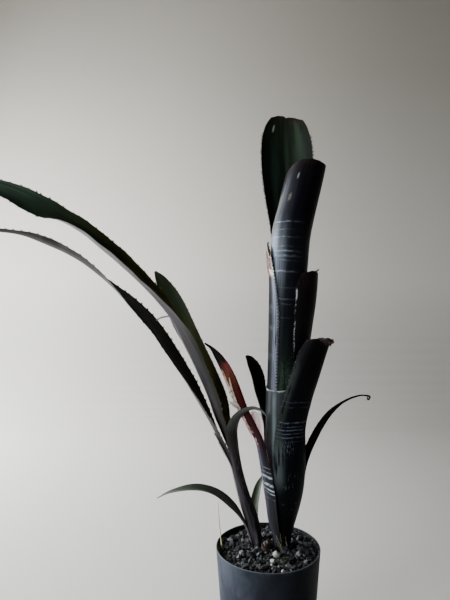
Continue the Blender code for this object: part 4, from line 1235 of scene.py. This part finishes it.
mossSizes, mossTones = draw.uniform(0.9, 1.8, len(mossSpots)), draw.uniform(0, 0.7, len(mossSpots))
darkMoss = mossSkin("mossDark", (8, 16, 5), (60, 90, 30))
scatter("mossTuft", mossBlade, mossSpots, mossSizes, mossTones, 0.6, darkMoss)

blades = rimMoss["blades"]
rimTurn = draw.uniform(rimMoss["first"], rimMoss["last"], blades)
climb = draw.uniform(0, 1, blades) ** 1.5
rimOut = rimMoss["out"] - draw.uniform(0, 1, blades) ** 2 * rimMoss["depth"] * (1 - climb)
rimSpots = around(rimOut, rimTurn, mix["level"] + rimMoss["low"] + rimMoss["climb"] * climb)
rimSizes, rimTones = draw.uniform(0.7, 1.3, blades), draw.uniform(0, 0.8, blades)
yellowMoss = mossSkin("mossYellow", (50, 60, 10), (300, 320, 60))
scatter("rimMoss", mossBlade, rimSpots, rimSizes, rimTones, 0.8, yellowMoss)
print("moss set")


# stump, stems, straw: the stump's reach is its radius at each share of its height

stump = dict(
    centre=(-1.0, 1.5), top=114.0, foot=98.3,
    reach=[(0, 0.02), (0.06, 3.4), (0.2, 4.9), (0.4, 5.5), (0.6, 5.2), (0.78, 4.3), (0.9, 3.0), (1, 0.02)],
    scales=[(250, 108.6), (330, 109.4), (190, 109.8), (100, 109.0), (20, 108.0), (285, 111.6)],
)


def makeStump():
    deselectAll()
    bpy.ops.mesh.primitive_uv_sphere_add(segments=40, ring_count=28, radius=1.0)
    bud = bpy.context.object
    bud.name = "runnerStump"
    spots = corners(bud)
    rise = (spots[:, 2] + 1) / 2
    angle = np.arctan2(spots[:, 1], spots[:, 0])
    ridge = 1 + 0.035 * np.sin(angle * 7 + rise * 5) + 0.02 * np.sin(angle * 17 + 3)
    height = stump["foot"] + rise * (stump["top"] - stump["foot"]) - 0.5 * (rise > 0.9) * np.cos(angle * 3)
    wide = np.interp(rise, *np.transpose(stump["reach"]))
    setCorners(bud, around(wide * ridge, angle, height, stump["centre"]))
    flakes = []
    for turn, high in stump["scales"]:  # the bud's scales: turn in degrees, height
        flake, u, v = gridPiece("flake", 8, 10)
        half = 3.3 * np.sin(np.pi * np.clip(v * 0.82 + 0.12, 0, 1)) ** 0.6
        out = 5.05 + 0.75 * v**2 - 1.6 * v * max(0, high - 109.5) / 3
        bend = radians(turn) + u * half / 5.4
        setCorners(flake, around(out, bend, high - 3.2 + v * 5.2, stump["centre"]))
        thicken(flake, 0.3)
        flakes.append(flake)
    joinInto(bud, flakes)
    smoothBelow(bud, 50)
    return bud


def stumpSkin():
    skin, tree, shader = newSkin("stumpScale")
    spot = here(tree)
    coarse = grain(tree, spot, (260, 260, 120), 4, 0.6)
    # the scales turn paler towards the very top
    paleTop = between(tree, times(tree, coarse, 0.004, apart(tree, spot)[2]), 0.1146, 0.1156, 0, 0.5)
    colour = ramp(tree, coarse, [(0.3, 6, 2.5, 2), (0.52, 30, 9, 7), (0.75, 90, 35, 28)])
    paint(tree, shader, blend(tree, paleTop, colour, (300, 200, 170)), 0.6)
    bumps(tree, shader, coarse, 0.6, 0.6 * mm)
    return skin


runnerStump = makeStump()
dress(runnerStump, stumpSkin())
onPlant(runnerStump, "stump_bark", "runner_stump")


def threadPiece(name, route, thins, radius):
    # a thin stalk: a curve with a round bevel, made a mesh
    curve = bpy.data.curves.new(name, "CURVE")
    curve.dimensions = "3D"
    curve.bevel_depth = radius * mm
    curve.bevel_resolution = 3
    curve.use_fill_caps = True
    line = curve.splines.new("POLY")
    line.points.add(len(route) - 1)
    for spot, place, thin in zip(line.points, route, thins):
        spot.co = (*(place * mm), 1)
        spot.radius = thin
    pick(addPiece(name, curve))
    bpy.ops.object.convert(target="MESH")
    thread = bpy.context.object
    openMesh(thread)
    bpy.ops.mesh.remove_doubles(threshold=0.000002)
    bpy.ops.object.mode_set(mode="OBJECT")
    smoothBelow(thread, 60)
    return thread


straw = dict(
    route=[(-46, 4, 97.3), (-46.5, 4, 106), (-48, 2, 120), (-49.6, -0.5, 138), (-50.4, -2.5, 154.5)],
    radius=0.75, points=26, low=97.3, high=154.5,
)
strawHeights = np.linspace(straw["low"], straw["high"], straw["points"])
strawLine = smoothThrough([row[2] for row in straw["route"]], straw["route"], strawHeights)
dryStraw = threadPiece("dryStraw", strawLine, np.linspace(1.0, 0.5, straw["points"]), straw["radius"])
strawStops = [(0.3, 600, 500, 200), (0.7, 900, 840, 600)]
dress(dryStraw, plainSkin("strawPale", (1500, 1500, 160), 3, 0.5, strawStops, 0.6, 0.3, 0.1))
onPlant(dryStraw, "straw", "dry_straw")

fleshStops = [(0.3, 160, 150, 70), (0.7, 360, 340, 200)]
for name in ("tall_stem", "young_stem"):
    dress(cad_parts[name], plainSkin(name + "Flesh", (700, 700, 90), 4, 0.5, fleshStops, 0.6))
print("stump and straw made")


# dry shreds, curled tips and fibres: x, y, z, half width, turn in degrees about its own line

def stripPiece(name, skin, slot, knots):
    knots = np.array(knots, float)
    places = distances(knots)
    fine = np.linspace(0, places[-1], 60)
    rows = smoothThrough(places, knots, fine)
    tangents = unit(np.gradient(rows[:, :3], axis=0))
    level = unit(np.cross(tangents, [0.0, -1.0, 0.0]))
    outward = np.cross(level, tangents)
    turn = np.radians(rows[:, 4])[:, None]
    across = level * np.cos(turn) + outward * np.sin(turn)
    facing = outward * np.cos(turn) - level * np.sin(turn)
    strip, u, share = gridPiece(name, 6, max(12, int(places[-1] * 1.5)))
    place = share * places[-1]
    spots, across, facing = sampled(place, fine, rows, across, facing)
    seed = sum(map(ord, name)) % 31
    ragged = 1 + 0.22 * np.sin(place * 2.1 + seed + u) + 0.12 * np.sin(place * 5.3 + 2 * seed - u)
    half = spots[:, 3] * ragged
    cup = 0.35 * half * (u**2 - 0.4)
    setCorners(strip, spots[:, :3] + across * (half * u)[:, None] + facing * cup[:, None])
    thicken(strip, 0.2, offset=0)
    smoothBelow(strip, 50)
    dress(strip, skin)
    onPlant(strip, slot)


def drySkin(name, low, middle, high):
    stops = [(0.34, *low), (0.5, *middle), (0.66, *high)]
    return plainSkin(name, (500, 500, 260), 4, 0.6, stops, 0.65, 0.5)


papery = drySkin("shredCream", (500, 300, 240), (850, 680, 580), (900, 860, 800))
rosy = drySkin("shredRosy", (350, 100, 100), (700, 400, 360), (850, 700, 620))
burnt = drySkin("shredBurnt", (8, 6, 5), (20, 13, 10), (70, 40, 30))
netted = drySkin("foldedTip", (8, 5, 6), (30, 14, 14), (200, 90, 80))
fibrous = drySkin("baseFibre", (50, 45, 30), (140, 125, 85), (300, 270, 200))
wispGrey = drySkin("wispGrey", (160, 160, 170), (260, 260, 270), (340, 340, 350))

shreds = [
    ("leftTipHook", burnt, "leaf_withered", [
        (3.4, 9.5, 401, 1.1, 20), (2.2, 9, 408, 1, 10), (0.9, 8.6, 413.5, 0.8, 0),
        (0.6, 8.4, 416.6, 0.6, 0), (1.4, 8.2, 418, 0.4, 30), (2.1, 8, 416.8, 0.2, 60),
    ]),
    ("leftTipCream", papery, "leaf_withered", [
        (3.2, 8.6, 390, 0.8, 10), (1.6, 8, 396, 1.3, 0), (0.2, 7.6, 402, 1.2, -20),
        (-0.5, 7.4, 406, 0.8, -30), (-0.2, 7.4, 410, 0.2, -40),
    ]),
    ("leftTipBright", papery, "leaf_withered", [
        (4, 7.4, 389, 0.7, 0), (3.6, 6.8, 394.5, 1.5, 10), (2.7, 6.5, 399, 1.4, 10),
        (1.8, 6.4, 403.5, 0.3, 20),
    ]),
    ("leftTipRosy", rosy, "leaf_withered", [
        (2.7, 8.2, 383, 0.5, 0), (1, 7.9, 389, 0.9, -10), (0.1, 7.8, 394.5, 0.8, -10),
        (-0.5, 7.8, 399, 0.2, -20),
    ]),
    ("foldedTipFlap", netted, "leaf_dark", [
        (48.5, -15.5, 320.5, 0.8, 0), (52, -16.2, 319.6, 2, -10), (56, -16.6, 317.8, 3, -10),
        (59.6, -16, 317, 3.2, 5), (61.8, -14.6, 318, 2.2, 20), (63, -13.4, 320, 0.5, 30),
    ]),
    ("rightTipFlick", burnt, "leaf_dark", [
        (48.6, 8.2, 386.4, 0.9, 0), (51, 7.6, 388.2, 0.8, 0), (52.4, 7.2, 389.2, 0.6, 0),
        (53.6, 7, 390.6, 0.15, 0),
    ]),
    ("narrowTipCurl", burnt, "leaf_dark", [
        (104.2, 12, 259, 0.9, 0), (106.4, 12, 258.6, 1, 20), (107, 11.6, 256.8, 1, 60),
        (105.6, 11.4, 255.4, 1, 40), (104.2, 11.6, 256, 0.9, 10), (104.6, 12, 257.6, 0.5, 0),
    ]),
    ("redFlakeWide", papery, "leaf_withered", [
        (-39.6, 2.6, 255.4, 0.4, 0), (-36.2, 2, 253.6, 1.6, 0), (-32.4, 1.8, 251.2, 2.2, 10),
        (-29.4, 2, 248.4, 1.6, 10), (-27.6, 2.4, 245.6, 0.4, 0),
    ]),
    ("redFlakeLong", papery, "leaf_withered", [
        (-39.2, 4, 279, 0.3, 0), (-37.4, 3.4, 271, 0.7, 0), (-35, 2.8, 262.5, 0.9, 10),
        (-32.4, 2.2, 255, 1.1, 0), (-30.4, 2, 250, 0.4, 0),
    ]),
    ("redFlakeLow", rosy, "leaf_withered", [
        (-26, 1.6, 243, 0.3, 0), (-23, 0.6, 236, 0.9, 0), (-19.4, -0.6, 228, 0.8, 10),
        (-16.4, -1.2, 221, 0.3, 10),
    ]),
    ("baseShred", fibrous, "leaf_withered", [
        (8.6, 2.6, 118.5, 0.5, 0), (10, 1.2, 113.5, 1.3, 0), (12, -0.4, 109, 1.9, 10),
        (13.6, -1.4, 106, 1.3, 0), (14.6, -2, 104.6, 0.4, 0),
    ]),
    ("baseThreadLeft", fibrous, "leaf_withered", [
        (13, 2.8, 121, 0.25, 0), (13.6, 2, 114, 0.3, 0), (15.2, 0.6, 108, 0.3, 0),
        (17.4, -0.8, 105.4, 0.2, 0),
    ]),
    ("baseThreadRight", fibrous, "leaf_withered", [
        (18, 3.4, 117, 0.25, 0), (19, 2, 111, 0.3, 0), (20.6, 0.8, 107, 0.3, 0), (22.4, -0.4, 105, 0.2, 0),
    ]),
    ("youngWisp", wispGrey, "leaf_withered", [
        (-113.4, 3, 337.4, 0.35, 0), (-111, 3, 339.2, 0.6, 0), (-106.6, 3, 340.9, 0.75, 0),
        (-102, 3, 341.6, 0.7, 0), (-98, 3.4, 340.8, 0.4, 0),
    ]),
]
for shred in shreds:
    stripPiece(*shred)
print("dry shreds placed")


# floor, camera, light, all in metres

stage = dict(size=(11.0, 9.0, 1), middle=(0.4, -3.2, 0), wall=2.5, bend=0.45)


def makeStage():
    # a wide pale floor that curves up into walls on all four sides
    deselectAll()
    bpy.ops.mesh.primitive_plane_add(size=1, location=(0, 0, 0))
    floor = bpy.context.object
    floor.name = "floor"
    floor.scale = stage["size"]
    floor.location = stage["middle"]
    bpy.ops.object.transform_apply(location=True, scale=True)
    bpy.ops.object.mode_set(mode="EDIT")
    bpy.ops.mesh.select_mode(type="EDGE")
    bpy.ops.mesh.select_all(action="SELECT")
    bpy.ops.mesh.extrude_region_move(TRANSFORM_OT_translate={"value": (0, 0, stage["wall"])})
    bpy.ops.mesh.delete(type="ONLY_FACE")
    bpy.ops.object.mode_set(mode="OBJECT")
    for edge in floor.data.edges:
        edge.select = all(abs(floor.data.vertices[i].co.z) < 0.01 for i in edge.vertices)
    bpy.ops.object.mode_set(mode="EDIT")
    bpy.ops.mesh.edge_face_add()
    bpy.ops.mesh.bevel(offset=stage["bend"], segments=16)
    closeMesh(inside=True)
    bpy.ops.object.shade_smooth()
    skin, tree, shader = newSkin("floorPaint")
    spot = here(tree)
    across, _, height = apart(tree, spot)
    # painted shade: the walls grow darker and warmer towards the top
    wall = blend(tree, between(tree, height, 0, 1.2, kind="LINEAR"), (840, 785, 715), (600, 540, 462))
    wall = blend(tree, 1, wall, ramp(tree, grain(tree, spot, 1.2), [(0.3, 970), (0.7, 1000)]), "MULTIPLY")
    shade = between(tree, across, -0.35, 0.75, 1, 0.66)  # painted shade: darker away from the window
    paint(tree, shader, blend(tree, shade, (0, 0, 0), wall), 0.9)
    dress(floor, skin)


makeStage()

# the photo's camera: level, with its focal length and the photo's height in pixels
focal, photoHeight, sensor = 497, 600, 36
camera = addPiece("camera", bpy.data.cameras.new("camera"))
camera.location = (-0.0434, -0.5034, 0.3584)
camera.rotation_euler = (radians(90), 0, 0)
camera.data.lens = sensor * focal / photoHeight
camera.data.sensor_width = sensor
camera.data.clip_start = 0.01
bpy.context.scene.camera = camera


def areaLight(name, place, target, size, power, colour, spread=180):
    lamp = bpy.data.lights.new(name, "AREA")
    lamp.shape = "RECTANGLE"
    lamp.size, lamp.size_y = size
    lamp.energy = power
    lamp.color = colour
    lamp.spread = radians(spread)
    holder = addPiece(name, lamp)
    holder.location = place
    holder.rotation_euler = (Vector(target) - Vector(place)).to_track_quat("-Z", "Y").to_euler()
    holder.visible_camera = False


daylight = (0.88, 0.945, 1.0)
areaLight("windowLight", (-1.2, 0.45, 0.5), (0.1, 0.6, 0.18), (0.9, 1.2), 62, daylight)
areaLight("sideFill", (-1.0, -0.75, 0.55), (0, 0, 0.3), (0.6, 0.8), 1.3, daylight, spread=50)
areaLight("roomLight", (0.9, -1.6, 1.2), (0, 0.2, 0.3), (1.6, 1.2), 0.15, (1.0, 0.97, 0.93))
world = bpy.data.worlds.new("studio")
world.use_nodes = True
world.node_tree.nodes["Background"].inputs["Color"].default_value = (0.9, 0.93, 1.0, 1)
world.node_tree.nodes["Background"].inputs["Strength"].default_value = 0.02
bpy.context.scene.world = world
print("lights set")
